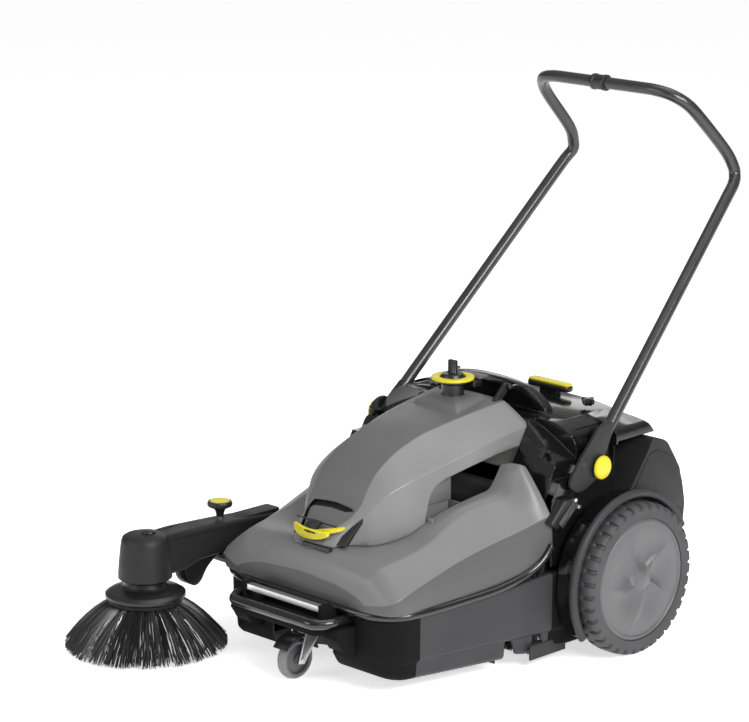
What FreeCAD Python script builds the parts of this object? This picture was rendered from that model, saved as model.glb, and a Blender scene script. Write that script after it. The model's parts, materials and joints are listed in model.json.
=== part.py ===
"""Walk-behind battery sweeper: parametric FreeCAD document, one object per real piece.

Machine coordinates: X to the machine's left, Y to the rear, Z up, millimetres. The middle plane is x = 0, the
rear axle is at y = 0 and the floor is z = 0. origin_x and origin_y move every piece so that the origin lies under
the centre of the whole machine.
"""

import FreeCAD, Part
import math
import os

import Sketcher
from FreeCAD import Placement, Rotation, Vector

doc = FreeCAD.newDocument("walk_behind_sweeper")
sheet = doc.addObject("Spreadsheet::Sheet", "dims")

DIMS = {
    "origin_x": 61,
    "origin_y": 187.3,
    # rear wheels and axle
    "tyre_radius": 150,
    "rim_radius": 119,
    "wheel_inner": 318,
    "tyre_width": 54,
    "axle_radius": 10,
    "axle_height": 150,
    "axle_half": 364,
    "fender_radius": 158,
    # castor
    "castor_y": -530,
    "castor_trail": 36,
    "castor_radius": 40,
    "castor_width": 26,
    # roller brush
    "roller_y": -150,
    "roller_z": 108,
    "roller_radius": 105,
    "roller_core": 42,
    "roller_half": 240,
    "tunnel_radius": 113,
    # drive
    "motor_y": -120,
    "motor_z": 272,
    "motor_radius": 42,
    "shaft_radius": 6,
    "pulley_x": 263,
    "pulley_width": 12,
    "motor_pulley": 18,
    "roller_pulley": 48,
    # side brush
    "brush_x": -342,
    "brush_y": -641,
    "brush_tip": 160,
    "brush_flange": 78,
    "arm_pivot_y": -300,
    "arm_pivot_z": 190,
    # push handle
    "handle_x": 289,
    "bracket_thick": 10,
    "pivot_y": -45,
    "pivot_z": 370,
    "tube_radius": 12,
    "tube_wall": 2,
    "bend_x": 225,
    "bend_y": 436,
    "bend_z": 856,
    "bar_y": 282,
    "bar_z": 1042,
    # covers
    "shell": 4,
    "container_half": 285,
    "container_back": 218,
    "deck_z": 444,
    # controls
    "selector_y": -140,
    "selector_z": 507,
    "shaker_x": 54,
    "shaker_y": 84,
    "knob_x": 180,
    "knob_y": 54,
    "hinge_y": -64,
    "hinge_z": 492,
    "latch_y": -508,
    "latch_z": 296,
}

for row, (alias, value) in enumerate(DIMS.items(), start=1):
    sheet.set(f"A{row}", alias)
    sheet.set(f"B{row}", str(value))
    sheet.setAlias(f"B{row}", alias)
doc.recompute()

parts = []


def size(alias):
    """The number in a cell of the sheet."""
    return float(sheet.get(alias))


def bind(obj, **expressions):
    """Ties properties to cells. A name such as Placement_Base_x stands for Placement.Base.x."""
    for name, text in expressions.items():
        words = text.replace("@", "dims.")
        obj.setExpression(name.replace("_", "."), words)
    return obj


def finish(obj, label):
    """Names a piece and moves it from machine coordinates to the document's origin."""
    obj.Label = label
    obj.setExpression("Placement.Base.x", "dims.origin_x")
    obj.setExpression("Placement.Base.y", "dims.origin_y")
    parts.append(obj)
    return obj


def box(x, y, z, length, width, height):
    """A box from its lowest corner and its three sides, each an expression in which @ marks a cell."""
    obj = doc.addObject("Part::Box", "box")
    bind(obj, Length=length, Width=width, Height=height)
    bind(obj, Placement_Base_x=x, Placement_Base_y=y, Placement_Base_z=z)
    return obj


def span(x0, x1, y0, y1, z0, z1):
    """A box from its limits along X, Y and Z."""
    return box(str(x0), str(y0), str(z0), f"({x1}) - ({x0})", f"({y1}) - ({y0})", f"({z1}) - ({z0})")


AXES = {"x": Rotation(Vector(0, 1, 0), 90), "y": Rotation(Vector(1, 0, 0), -90), "z": Rotation()}


def rod(axis, x, y, z, radius, height):
    """A cylinder that starts at a point and runs along +X, +Y or +Z."""
    obj = doc.addObject("Part::Cylinder", "rod")
    obj.Placement = Placement(Vector(), AXES[axis])
    bind(obj, Radius=str(radius), Height=str(height))
    bind(obj, Placement_Base_x=str(x), Placement_Base_y=str(y), Placement_Base_z=str(z))
    return obj


def cone(x, y, z, radius_low, radius_high, height):
    """A cone frustum that stands on a point."""
    obj = doc.addObject("Part::Cone", "cone")
    bind(obj, Radius1=str(radius_low), Radius2=str(radius_high), Height=str(height))
    bind(obj, Placement_Base_x=str(x), Placement_Base_y=str(y), Placement_Base_z=str(z))
    return obj


def plain(shape):
    """A shape made with Part's own functions, as an object that booleans can use."""
    obj = doc.addObject("Part::Feature", "shape")
    obj.Shape = shape
    return obj


def fuse(*objs):
    obj = doc.addObject("Part::MultiFuse", "fuse")
    obj.Shapes = list(objs)
    return obj


def cut(base, *tools):
    obj = doc.addObject("Part::Cut", "cut")
    obj.Base = base
    obj.Tool = tools[0] if len(tools) == 1 else fuse(*tools)
    return obj


def common(base, tool):
    obj = doc.addObject("Part::Common", "common")
    obj.Base = base
    obj.Tool = tool
    return obj


def group(*objs):
    obj = doc.addObject("Part::Compound", "group")
    obj.Links = list(objs)
    return obj


PLANES = {"xy": "XY_Plane", "xz": "XZ_Plane", "yz": "YZ_Plane"}


def sketch_body(plane, outline, offset):
    """A PartDesign body with a closed outline sketched on one of its own planes, moved along that plane's normal."""
    body = doc.addObject("PartDesign::Body", "body")
    origin_plane = next(f for f in body.Origin.OriginFeatures if f.Role == PLANES[plane])
    drawing = body.newObject("Sketcher::SketchObject", "sketch")
    drawing.AttachmentSupport = [(origin_plane, "")]
    drawing.MapMode = "FlatFace"
    drawing.AttachmentOffset = Placement(Vector(0, 0, offset), Rotation())
    corners = [Vector(a, b, 0) for a, b in outline]
    for first, second in zip(corners, corners[1:] + corners[:1]):
        drawing.addGeometry(Part.LineSegment(first, second))
    count = len(corners)
    for i in range(count):
        drawing.addConstraint(Sketcher.Constraint("Coincident", i, 2, (i + 1) % count, 1))
    return body, drawing


def pad(plane, outline, offset, length):
    """An extruded outline: yz outlines are (y, z) and grow along +X, xy grow along +Z, xz grow along -Y."""
    body, drawing = sketch_body(plane, outline, offset)
    feature = body.newObject("PartDesign::Pad", "pad")
    feature.Profile = drawing
    bind(feature, Length=str(length))
    drawing.Visibility = False
    body.Tip = feature
    return body


def turned(outline):
    """A turned piece: the outline is (radius, height) and turns about its own vertical axis."""
    body, drawing = sketch_body("xz", outline, 0)
    feature = body.newObject("PartDesign::Revolution", "turned")
    feature.Profile = drawing
    feature.ReferenceAxis = (drawing, ["V_Axis"])
    feature.Angle = 360
    body.Tip = feature
    return body


def placed(obj, axis, x, y, z):
    """A turned piece laid along an axis at a point, as the one member of a group."""
    obj.Placement = Placement(Vector(x, y, z), AXES[axis])
    return obj


def mirrored(outline):
    """Closes a half outline, given for x above 0, with its mirror image."""
    return outline + [(-a, b) for a, b in reversed(outline)]


def section(y, half):
    corners = [Vector(x, y, z) for x, z in mirrored(half)]
    return Part.makePolygon(corners + corners[:1])


def skin_loft(stations):
    """A solid through cross-sections. A station is a y and a half outline of (x, z)."""
    return Part.makeLoft([section(y, half) for y, half in stations], True, True)


def shrunk(stations, wall, floor):
    """The inside of a loft: each half outline drawn in by the wall, with its lowest points dropped to the floor."""
    inner = []
    for y, half in stations:
        low = min(z for _, z in half)
        inner.append((y, [(x - wall, floor if z == low else z - wall) for x, z in half]))
    first_y, first = inner[0]
    inner[0] = (first_y + wall, first)
    return inner


def bent_wire(points, radii):
    """A wire of straight runs joined by tangent arcs."""
    edges, start = [], points[0]
    for before, corner, after, radius in zip(points, points[1:], points[2:], radii):
        a = (before - corner).normalize()
        b = (after - corner).normalize()
        half_angle = a.getAngle(b) / 2
        reach = radius / math.tan(half_angle)
        centre = corner + (a + b).normalize() * (radius / math.sin(half_angle))
        middle = centre + (corner - centre).normalize() * radius
        edges.append(Part.makeLine(start, corner + a * reach))
        edges.append(Part.Arc(corner + a * reach, middle, corner + b * reach).toShape())
        start = corner + b * reach
    edges.append(Part.makeLine(start, points[-1]))
    return Part.Wire(edges)


def pipe(points, radii, radius):
    """A round bar along a bent wire."""
    path = bent_wire(points, radii)
    along = points[1] - points[0]
    circle = Part.Wire(Part.makeCircle(radius, points[0], along))
    return path.makePipeShell([circle], True, False)


def both_sides(make):
    """The left and right copies of one piece, as one group. make takes +1 or -1."""
    return group(make(1), make(-1))


# ---------------------------------------------------------------- outlines of the covers

BONNET = [
    (-553, [(168, 166), (174, 180), (130, 198), (60, 206)]),
    (-541, [(216, 166), (221, 188), (166, 224), (70, 234)]),
    (-524, [(233, 166), (236, 197), (176, 240), (75, 250)]),
    (-500, [(238, 166), (238, 205), (182, 248), (80, 256)]),
    (-450, [(243, 167), (239, 219), (185, 257), (88, 255)]),
    (-400, [(249, 169), (241, 234), (186, 269), (100, 263)]),
    (-363, [(255, 172), (245, 245), (184, 282), (126, 284)]),
    (-300, [(266, 178), (255, 261), (182, 306), (148, 311)]),
    (-240, [(276, 188), (267, 275), (198, 318), (160, 326)]),
    (-212, [(280, 197), (272, 282), (209, 327), (165, 332)]),
    (-194, [(282, 206), (275, 286), (213, 348), (165, 352)]),
    (-178, [(284, 216), (278, 290), (212, 381), (165, 373)]),
    (-163, [(286, 235), (281, 294), (214, 379), (165, 373)]),
]
TUB = [
    (-546, [(148, 66), (163, 82), (164, 157)]),
    (-531, [(190, 42), (206, 58), (208, 156)]),
    (-503, [(219, 32), (233, 50), (234, 156)]),
    (-452, [(232, 30), (242, 50), (243, 158)]),
    (-292, [(262, 28), (269, 48), (271, 169)]),
    (-212, [(277, 28), (283, 46), (284, 178)]),
    (-150, [(288, 28), (294, 46), (295, 184)]),
    (-34, [(292, 28), (298, 46), (299, 186)]),
]
COVER = [
    (-520, [(50, 232), (48, 258), (34, 264)]),
    (-508, [(57, 234), (54, 274), (38, 282)]),
    (-492, [(64, 236), (60, 287), (46, 295)]),
    (-480, [(70, 238), (64, 295), (56, 304)]),
    (-468, [(81, 240), (72, 303), (63, 316)]),
    (-454, [(93, 242), (84, 319), (67, 333)]),
    (-440, [(103, 243), (92, 332), (67, 355)]),
    (-425, [(111, 245), (100, 346), (67, 376)]),
    (-404, [(121, 252), (109, 358), (67, 393)]),
    (-375, [(135, 264), (117, 370), (67, 410)]),
    (-340, [(141, 280), (122, 379), (67, 424)]),
    (-290, [(146, 296), (130, 391), (69, 439)]),
    (-215, [(150, 320), (145, 411), (75, 452)]),
    (-140, [(152, 340), (150, 424), (82, 463)]),
    (-85, [(152, 350), (151, 432), (86, 469)]),
]

# ---------------------------------------------------------------- chassis


def bar_path():
    """Centre line of the carry bar: straight back from the front corners into the tub."""
    return [Vector(128, -532, 144), Vector(128, -596, 144), Vector(108, -623, 144), Vector(-108, -623, 144),
            Vector(-128, -596, 144), Vector(-128, -532, 144)]


def chassis_tub():
    """Lower frame: a tapered tub with the brush opening, the castor well and two arms beside the container."""
    outer = plain(skin_loft(TUB))
    rear = span("-299", "299", "-40", 165, 44, 190)
    container_bay = span("-289", "289", 22, 190, 20, 210)
    front_stations = [s for s in TUB if s[0] < -280]
    bay_stations = [(y + 6, [(half[0][0] - 8, 66), (half[2][0] - 8, 66), (half[2][0] - 8, 230)])
                    for y, half in front_stations]
    battery_bay = cut(plain(skin_loft(bay_stations)), rod("z", 0, "@castor_y", 60, 92, 49))
    brush_bay = span(-266, 266, "@roller_y - 120", "@roller_y + 120", 10, 260)
    belt_bay = span(265, 279, "@roller_y - 56", "@roller_y + 54", 46, 260)
    throw_slot = span(-256, 256, -41, 23, 62, 132)
    castor_well = rod("z", 0, "@castor_y", 10, 84, 93)
    well_mouth = span(-84, 84, "@castor_y - 40", "@castor_y", 10, 103)
    sleeve_hole = rod("z", 0, "@castor_y", 90, 16, 50)
    axle_hole = rod("x", -310, 0, "@axle_height", "@axle_radius + 0.05", 620)
    bar_holes = plain(pipe(bar_path(), [30, 24, 24, 30], 10))
    body = cut(fuse(outer, rear), container_bay, battery_bay, brush_bay, belt_bay, throw_slot, castor_well,
               well_mouth, sleeve_hole, axle_hole, bar_holes)
    return finish(body, "chassis_tub")


def brush_tunnel():
    """Arched sheet over the roller brush, with an end plate for each bearing and a saddle for the motor."""
    ring = cut(
        rod("x", -262, "@roller_y", "@roller_z", "@tunnel_radius + 4", 524),
        rod("x", -258, "@roller_y", "@roller_z", "@tunnel_radius", 516),
    )
    below = span(-300, 300, "@roller_y - 130", "@roller_y + 130", -60, "@roller_z - 40")
    front = span(-257, 257, "@roller_y - 130", "@roller_y + 130", "@roller_z - 41", "@roller_z")
    bore = rod("x", -300, "@roller_y", "@roller_z", "@shaft_radius + 6.5", 600)
    saddle = cut(
        span(0, 120, -158, -76, 218, 262),
        rod("x", -5, "@motor_y", "@motor_z", "@motor_radius + 0.3", 140),
        rod("x", -5, "@roller_y", "@roller_z", "@tunnel_radius + 3", 140),
    )
    return finish(fuse(cut(ring, below, front, bore), saddle), "brush_tunnel")


def roller_bearings():
    def one(side):
        x = 246 if side > 0 else -258
        return cut(
            rod("x", x, "@roller_y", "@roller_z", 24, 11.5),
            rod("x", x - 1, "@roller_y", "@roller_z", "@shaft_radius + 4.05", 14),
        )

    return finish(both_sides(one), "roller_bearings")


def rear_axle():
    bar = rod("x", "-@axle_half", 0, "@axle_height", "@axle_radius", "2 * @axle_half")
    return finish(group(bar), "rear_axle")


def wheel_arch(side, name):
    """Arched fender lip over a rear wheel."""
    low, width = (299, 51) if side > 0 else (-350, 51)
    ring = cut(
        rod("x", low, 0, "@axle_height", "@fender_radius + 9", width),
        rod("x", low - 1, 0, "@axle_height", "@fender_radius", width + 2),
    )
    reach = 300
    angles = [math.radians(a) for a in (27, 75, 120, 165, 213)]
    wedge = [(0, 150)] + [(reach * math.cos(a), 150 + reach * math.sin(a)) for a in angles]
    return finish(common(ring, pad("yz", wedge, low - 1, width + 2)), name)


def sealing_strips():
    """Rubber strips round the brush opening: front, rear and both sides."""
    front = pad("yz", [(-284, 5), (-281, 5), (-277, 28), (-284, 28)], -250, 500)
    rear = pad("yz", [(-40, 5), (-36, 5), (-34, 28), (-40, 28)], -260, 520)
    left = span(279, 283, -262, -44, 4, 28)
    right = span(-283, -279, -262, -44, 4, 28)
    return finish(group(front, rear, left, right), "sealing_strips")


def battery():
    block = span(-130, 130, -437, -288, 66, 252)
    grips = [span(x, x + 30, -440, -280, 230, 256) for x in (-100, 70)]
    poles = [rod("z", x, -320, 251, 9, 9) for x in (-85, 50)]
    return finish(fuse(cut(block, *grips), *poles), "battery")


def drive_motor():
    can = rod("x", -12, "@motor_y", "@motor_z", "@motor_radius", 150)
    nose = rod("x", 138, "@motor_y", "@motor_z", 22, 14)
    bore = rod("x", -20, "@motor_y", "@motor_z", "@shaft_radius + 0.05", 200)
    return finish(cut(fuse(can, nose), bore), "drive_motor")


def motor_shaft():
    bar = rod("x", -128, "@motor_y", "@motor_z", "@shaft_radius", "@pulley_x + @pulley_width + 128")
    return finish(group(bar), "motor_shaft")


def grooved_pulley(radius, bore, y, z, label):
    """Flat belt pulley with two flanges."""
    width = size("pulley_width")
    outline = [
        (bore, 0), (radius + 4, 0), (radius + 4, 1.5), (radius, 1.5),
        (radius, width - 1.5), (radius + 4, width - 1.5), (radius + 4, width), (bore, width),
    ]
    wheel = placed(turned(outline), "x", size("pulley_x"), y, z)
    return finish(group(wheel), label)


def drive_belt():
    """Toothless belt round the two pulleys, drawn as two arcs and their outer tangents."""
    y1, z1 = size("motor_y"), size("motor_z")
    y2, z2 = size("roller_y"), size("roller_z")
    distance = math.hypot(y2 - y1, z2 - z1)
    heading = math.atan2(z2 - z1, y2 - y1)
    x = size("pulley_x") + 2.2
    width = size("pulley_width") - 4.4

    def loop(extra):
        ra, rb = size("motor_pulley") + extra, size("roller_pulley") + extra
        lean = math.acos((ra - rb) / distance)

        def point(y, z, r, angle):
            return Vector(x, y + r * math.cos(angle), z + r * math.sin(angle))

        a1, a2 = point(y1, z1, ra, heading + lean), point(y1, z1, ra, heading - lean)
        b1, b2 = point(y2, z2, rb, heading + lean), point(y2, z2, rb, heading - lean)
        back = point(y1, z1, ra, heading + math.pi)
        front = point(y2, z2, rb, heading)
        edges = [
            Part.Arc(a1, back, a2).toShape(), Part.makeLine(a2, b2),
            Part.Arc(b2, front, b1).toShape(), Part.makeLine(b1, a1),
        ]
        return Part.Face(Part.Wire(edges)).extrude(Vector(width, 0, 0))

    return finish(plain(loop(3.2).cut(loop(0.4))), "drive_belt")


def fan_impeller():
    hub = rod("x", -108, "@motor_y", "@motor_z", 14, 28)
    disc = rod("x", -108, "@motor_y", "@motor_z", 34, 3)
    blades = []
    for i in range(8):
        blade = doc.addObject("Part::Box", "blade")
        blade.Length, blade.Width, blade.Height = 26, 2.5, 24
        turn = Rotation(Vector(1, 0, 0), 45 * i)
        centre = Vector(-107, size("motor_y"), size("motor_z"))
        blade.Placement = Placement(centre + turn.multVec(Vector(0, 0, 11)), turn)
        blades.append(blade)
    bore = rod("x", -120, "@motor_y", "@motor_z", "@shaft_radius", 60)
    return finish(cut(fuse(hub, disc, *blades), bore), "fan_impeller")


def fan_housing():
    shell = fuse(
        rod("x", -114, "@motor_y", "@motor_z", 44, 42),
        span(-114, -72, "@motor_y", "@motor_y + 60", "@motor_z + 10", "@motor_z + 43"),
    )
    room = fuse(
        rod("x", -111, "@motor_y", "@motor_z", 41, 36),
        span(-111, -75, "@motor_y", "@motor_y + 61", "@motor_z + 13", "@motor_z + 40"),
    )
    inlet = rod("x", -120, "@motor_y", "@motor_z", 22, 60)
    return finish(cut(shell, room, inlet), "fan_housing")


# ---------------------------------------------------------------- covers


def bonnet():
    """Lower grey cover: the nose and two hips, open in the middle for the battery."""
    outer = plain(skin_loft(BONNET))
    inner = plain(skin_loft(shrunk(BONNET, size("shell"), 120)))
    rim = [(54, -478), (88, -440), (106, -404), (128, -363), (149, -300), (161, -240), (165, -212), (165, -150)]
    hatch = pad("xy", mirrored(rim), 120, 300)
    walls = [span(x, x + 3, -350, -262, 254, 362) for x in (108, -111)]
    ties = [span(x, x + 41, -350, -345, 254, 298) for x in (108, -149)]
    ties += [span(x, x + 54, -267, -262, 254, 312) for x in (108, -162)]
    return finish(fuse(cut(outer, inner, hatch), *walls, *ties), "front_bonnet")


def dropped(stations, grow):
    """The cover's cross-sections drawn outwards by a distance, with their sides run straight down."""
    return [(y, [(low_x + grow, 150), (low_x + grow, low_z), (x1 + grow, z1 + grow), (x2 + grow, z2 + grow)])
            for y, ((low_x, low_z), (x1, z1), (x2, z2)) in stations]


def upper_cover():
    """Hinged upper cover: the dome down to the bonnet, two arches over the side windows, hinge lugs and latch pin."""
    outer = skin_loft(COVER)
    hollow = dropped(COVER, -4)
    hollow[0] = (COVER[0][0] + 4, hollow[0][1])
    inner = skin_loft(hollow)
    seat = skin_loft([(y - 1.2, [(x + 1.2, z if z < 170 else z + 1.2) for x, z in half]) for y, half in BONNET])
    window = [(-362, 150), (-358, 287), (-337, 342), (-312, 360), (-246, 377), (-185, 390), (-70, 401), (-70, 150)]
    selector_hole = Part.makeCylinder(5.05, 60, Vector(0, size("selector_y"), 440))
    window_face = Part.Face(Part.makePolygon([Vector(-260, y, z) for y, z in window + window[:1]]))
    shape = outer.cut(inner).cut(seat).cut(selector_hole).cut(window_face.extrude(Vector(520, 0, 0)))
    shape = max(shape.Solids, key=lambda solid: solid.Volume)
    pin_y, pin_z = size("latch_y"), size("latch_z")
    pin = Part.makeCylinder(1.5, 108, Vector(-54, pin_y, pin_z), Vector(1, 0, 0))
    ears = [Part.makeBox(5, 18, 24, Vector(x, pin_y - 4, pin_z - 20)) for x in (-54, 49)]
    lug_outline = [(-108, 462), (-96, 474), (-70, 498), (-60, 498), (-58, 490), (-62, 485), (-88, 460)]
    lug_face = Part.Face(Part.makePolygon([Vector(0, y, z) for y, z in lug_outline + lug_outline[:1]]))
    bore = Part.makeCylinder(3.05, 200, Vector(-100, size("hinge_y"), size("hinge_z")), Vector(1, 0, 0))
    for x in (-76, 68):
        lug = lug_face.extrude(Vector(8, 0, 0)).translated(Vector(x, 0, 0))
        shape = shape.fuse(lug.cut(inner).cut(bore))
    for piece in [pin] + ears:
        shape = shape.fuse(piece.cut(seat).cut(inner))
    shape = max(shape.Solids, key=lambda solid: solid.Volume)
    return finish(plain(shape.removeSplitter()), "upper_cover")


def console():
    """Raised foot of the selector on the rear of the upper cover, with its round neck."""
    stages = [
        (58, -186, -86, 456), (58, -186, -86, 466), (44, -176, -92, size("selector_z") - 14),
    ]
    wires = []
    for half, front, rear, z in stages:
        corners = [Vector(-half, front, z), Vector(half, front, z), Vector(half, rear, z), Vector(-half, rear, z)]
        wires.append(Part.makePolygon(corners + corners[:1]))
    foot = plain(Part.makeLoft(wires, True, True))
    neck = rod("z", 0, "@selector_y", "@selector_z - 20", 36, 20)
    bridge = span(-30, 30, -112, -88, "@selector_z - 14", "@selector_z - 4")
    bore = rod("z", 0, "@selector_y", 440, 5.05, 90)
    cover = plain(skin_loft(COVER))
    return finish(cut(fuse(foot, neck, bridge), bore, cover), "console")


def status_display():
    tab = span(-30, 30, -97.5, -70, "@selector_z - 4", "@selector_z + 1")
    return finish(group(tab), "status_display")


def selector_ring():
    ring = cut(rod("z", 0, "@selector_y", "@selector_z + 0.2", 42, 6),
               rod("z", 0, "@selector_y", "@selector_z - 1", 25.5, 10))
    return finish(ring, "selector_ring")


def selector_knob():
    skirt = cone(0, "@selector_y", "@selector_z + 0.6", 25, 21, 11)
    grip = span(-10, 10, "@selector_y - 4.5", "@selector_y + 4.5", "@selector_z + 10", "@selector_z + 38")
    stem = rod("z", 0, "@selector_y", 468, 5, 28)
    return finish(fuse(skirt, grip, stem), "selector_knob")


def latch():
    """Pull paddle at the foot of the upper cover, with a finger tail, turning on the cover's pin."""
    outline = [(-537, 270), (-533, 285), (-518, 300), (-505, 301), (-502, 295), (-516, 289), (-527, 279), (-532, 269)]
    paddle = pad("yz", outline, -48, 96)
    tail = span(20, 82, -519, -509, 300.5, 307)
    bore = rod("x", -70, "@latch_y", "@latch_z", 1.55, 140)
    return finish(cut(fuse(paddle, tail), bore), "cover_latch")


def low_screw_place(side):
    """Where a winged screw stands on the sloping front of the rear housing."""
    return Placement(Vector(side * 228, -116, 397), Rotation(Vector(1, 0, 0), 58))


def rear_housing():
    """Black shell between the covers and the container, with the filter room under its deck."""
    deck = size("deck_z")
    outer = [(-160, 190), (-160, 316), (-130, 372), (-100, 420), (-80, deck), (108, deck), (138, 402),
             (30, 402), (30, 190)]
    inner = [(-156, 180), (-156, 315), (-126, 370), (-97, 417), (-78, deck - 4), (106, deck - 4), (128, 406),
             (26, 406), (26, 180)]
    grown = dropped([station for station in COVER if station[0] > -230], 2)
    grown[-1] = (-82.5, grown[-1][1])
    guide = [(-108, 302), (-94, 290), (-150, 240), (-160, 250), (-160, 268)]
    guides = [pad("yz", guide, x, 20) for x in (279, -299)]
    screw_holes = []
    for side in (1, -1):
        hole = rod("z", 0, 0, -30, "4.05", 40)
        holder = group(hole)
        holder.Placement = low_screw_place(side)
        screw_holes.append(holder)
    lid_hole = span(-200, 200, -40, 96, "@deck_z - 10", "@deck_z + 1")
    shell = cut(
        pad("yz", outer, -279.5, 559),
        pad("yz", inner, -275.5, 551),
        rod("x", -264, "@roller_y", "@roller_z", "@tunnel_radius + 6", 528),
        span(260, 278, "@roller_y - 60", "@roller_y + 60", 180, 330),
        lid_hole,
        *screw_holes,
    )
    return finish(fuse(cut(shell, plain(skin_loft(grown))), *guides), "rear_housing")


def filter_element():
    """Flat pleated filter: a row of folds."""
    pitch, low, high, count = 16, 340, 396, 8
    top, bottom = [], []
    for i in range(count):
        y = -100 + pitch * i
        top += [(y, low + 5), (y + pitch / 2, high)]
        bottom += [(y, low), (y + pitch / 2, high - 5)]
    return finish(pad("yz", top + list(reversed(bottom)), -170, 340), "filter_element")


def filter_lid():
    """Lid of the filter room with its raised front hump and the pegs of the cover hinge."""
    plate = span(-236, 236, -44, 102, "@deck_z", "@deck_z + 7")
    foot = size("deck_z") + 0.5
    hump = pad("xz", mirrored([(158, foot), (153, 458), (126, 477), (94, 491), (50, 497), (1, 499)]), 22, 20)
    ears = [span(x, x + 6, -68, -41, 487, 493) for x in (77, -83)]
    eyes = [rod("x", x, "@hinge_y", "@hinge_z", 6, 6) for x in (77, -83)]
    pegs = [rod("x", x, "@hinge_y", "@hinge_z", 3, 12) for x in (68, -80)]
    holes = [rod("z", f"{side} * @knob_x", "@knob_y", 420, 4, 60) for side in (1, -1)]
    holes.append(rod("z", "@shaker_x", "@shaker_y", 420, 5.05, 60))
    return finish(cut(fuse(plate, hump, *ears, *eyes, *pegs), *holes), "filter_lid")


def front_frame():
    """Front shelf inside the carry bar, with cheeks that hold the accessory rail and a horn on each side."""
    shelf = pad("xy", mirrored([(116, -547), (116, -592), (100, -613)]), 118, 12)
    cheek = [(-547, 129), (-547, 140), (-575, 174), (-600, 174), (-600, 129)]
    cheeks = [pad("yz", cheek, x, 8) for x in (99.5, -107.5)]
    horn = [(-547, 74), (-547, 133), (-592, 133), (-598, 116), (-578, 88)]
    horns = [pad("yz", horn, x, 38) for x in (106, -144)]
    hand_gap = span(-92, 92, -597, -560, 110, 140)
    bar = plain(pipe(bar_path(), [30, 24, 24, 30], 10))
    tub = plain(skin_loft(TUB))
    return finish(cut(fuse(shelf, *cheeks, *horns), hand_gap, bar, tub), "front_frame")


def castor_plate():
    """Steel plate with the sleeve in which the castor swivels."""
    plate = span(-46, 46, "@castor_y - 15", "@castor_y + 46", 97.5, 103)
    sleeve = rod("z", 0, "@castor_y", 97.5, 16, 30)
    bore = rod("z", 0, "@castor_y", 90, 8.05, 60)
    return finish(cut(fuse(plate, sleeve), bore), "castor_plate")


def carry_bar():
    """Round front bar, bent at both ends back into the chassis front."""
    return finish(plain(pipe(bar_path(), [30, 24, 24, 30], 10)), "carry_bar")


def accessory_rail():
    """Bright channel rail above the shelf that takes clip-on holders."""
    outline = [(-597, 160), (-583, 160), (-583, 163), (-588, 163), (-588, 168), (-583, 168), (-583, 171),
               (-597, 171)]
    return finish(pad("yz", outline, -99.5, 199), "accessory_rail")


def pivot_bolts():
    """Shouldered bolts on which the push handle turns, fixed in the rear housing."""
    def one(side):
        x = 279.5 if side > 0 else -301
        return rod("x", x, "@pivot_y", "@pivot_z", 7, 21.5)

    return finish(both_sides(one), "handle_pivot_bolts")


def arm_mount():
    """Bracket on the right of the chassis with the pin of the side brush arm and the foot under its screw."""
    plate = span(-303, -262, "@arm_pivot_y - 26", "@arm_pivot_y + 26", 158, 166)
    ear = span(-303, -296, "@arm_pivot_y - 16", "@arm_pivot_y + 16", 158, "@arm_pivot_z + 14")
    pin = rod("x", -386, "@arm_pivot_y", "@arm_pivot_z", 7, 84)
    beam = span(-303, -296, -460, "@arm_pivot_y + 16", 142, 158)
    foot = span(-356, -296, -460, -430, 134, 142)
    tie = span(-303, -240, -440, -420, 134, 142)
    tub = plain(skin_loft(TUB))
    return finish(cut(fuse(plate, ear, pin, beam, foot, tie), tub), "arm_mount")


# ---------------------------------------------------------------- wheels


def wheel_turn(side):
    """Turns a piece drawn about Z so that its +Z points outwards on one side of the machine."""
    return Rotation(Vector(0, 1, 0), 90 * side)


def wheel_hub(side, name):
    """Moulded wheel: rim band, dished disc with ribs, and a boss round the axle."""
    bore = size("axle_radius") + 0.05
    rim = size("rim_radius")
    outline = [
        (bore, 2), (24, 2), (24, 22), (rim - 9, 22), (rim - 9, 4), (rim, 4), (rim, 52), (rim - 5, 56),
        (rim - 9, 56), (rim - 12, 46), (44, 40), (30, 47), (bore, 47),
    ]
    x = side * size("wheel_inner")
    centre = Vector(x, 0, size("axle_height"))
    disc = turned(outline)
    disc.Placement = Placement(centre, wheel_turn(side))
    ribs = []
    for i in range(5):
        rib = doc.addObject("Part::Box", "rib")
        rib.Length, rib.Width, rib.Height = 10, 4, 70
        turn = Rotation(Vector(1, 0, 0), 72 * i + 20)
        start = Vector(x + (38 if side > 0 else -48), 0, size("axle_height"))
        rib.Placement = Placement(start + turn.multVec(Vector(0, -2, 34)), turn)
        ribs.append(rib)
    return finish(fuse(disc, *ribs), name)


def hub_cap(side, name):
    """Round cap over the end of the axle, pressed on the boss."""
    outline = [(0, 62), (12, 61.5), (20, 60), (26, 56), (28, 47), (24, 47), (24, 52), (0, 54)]
    cap = turned(outline)
    cap.Placement = Placement(Vector(side * size("wheel_inner"), 0, size("axle_height")), wheel_turn(side))
    return finish(group(cap), name)


def tyre(side, name):
    """Rubber tyre with tread blocks cut across both shoulders."""
    r, rim, width = size("tyre_radius"), size("rim_radius"), size("tyre_width")
    outline = [
        (rim + 0.3, 2), (rim + 14, 0), (r - 8, 2), (r - 1.5, 7), (r, 14), (r, width - 14), (r - 1.5, width - 7),
        (r - 8, width - 2), (rim + 12, width), (rim + 0.3, width - 1),
    ]
    ring = turned(outline)
    ring.Placement = Placement(Vector(side * size("wheel_inner"), 0, size("axle_height")), wheel_turn(side))
    return finish(group(ring), name)


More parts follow.
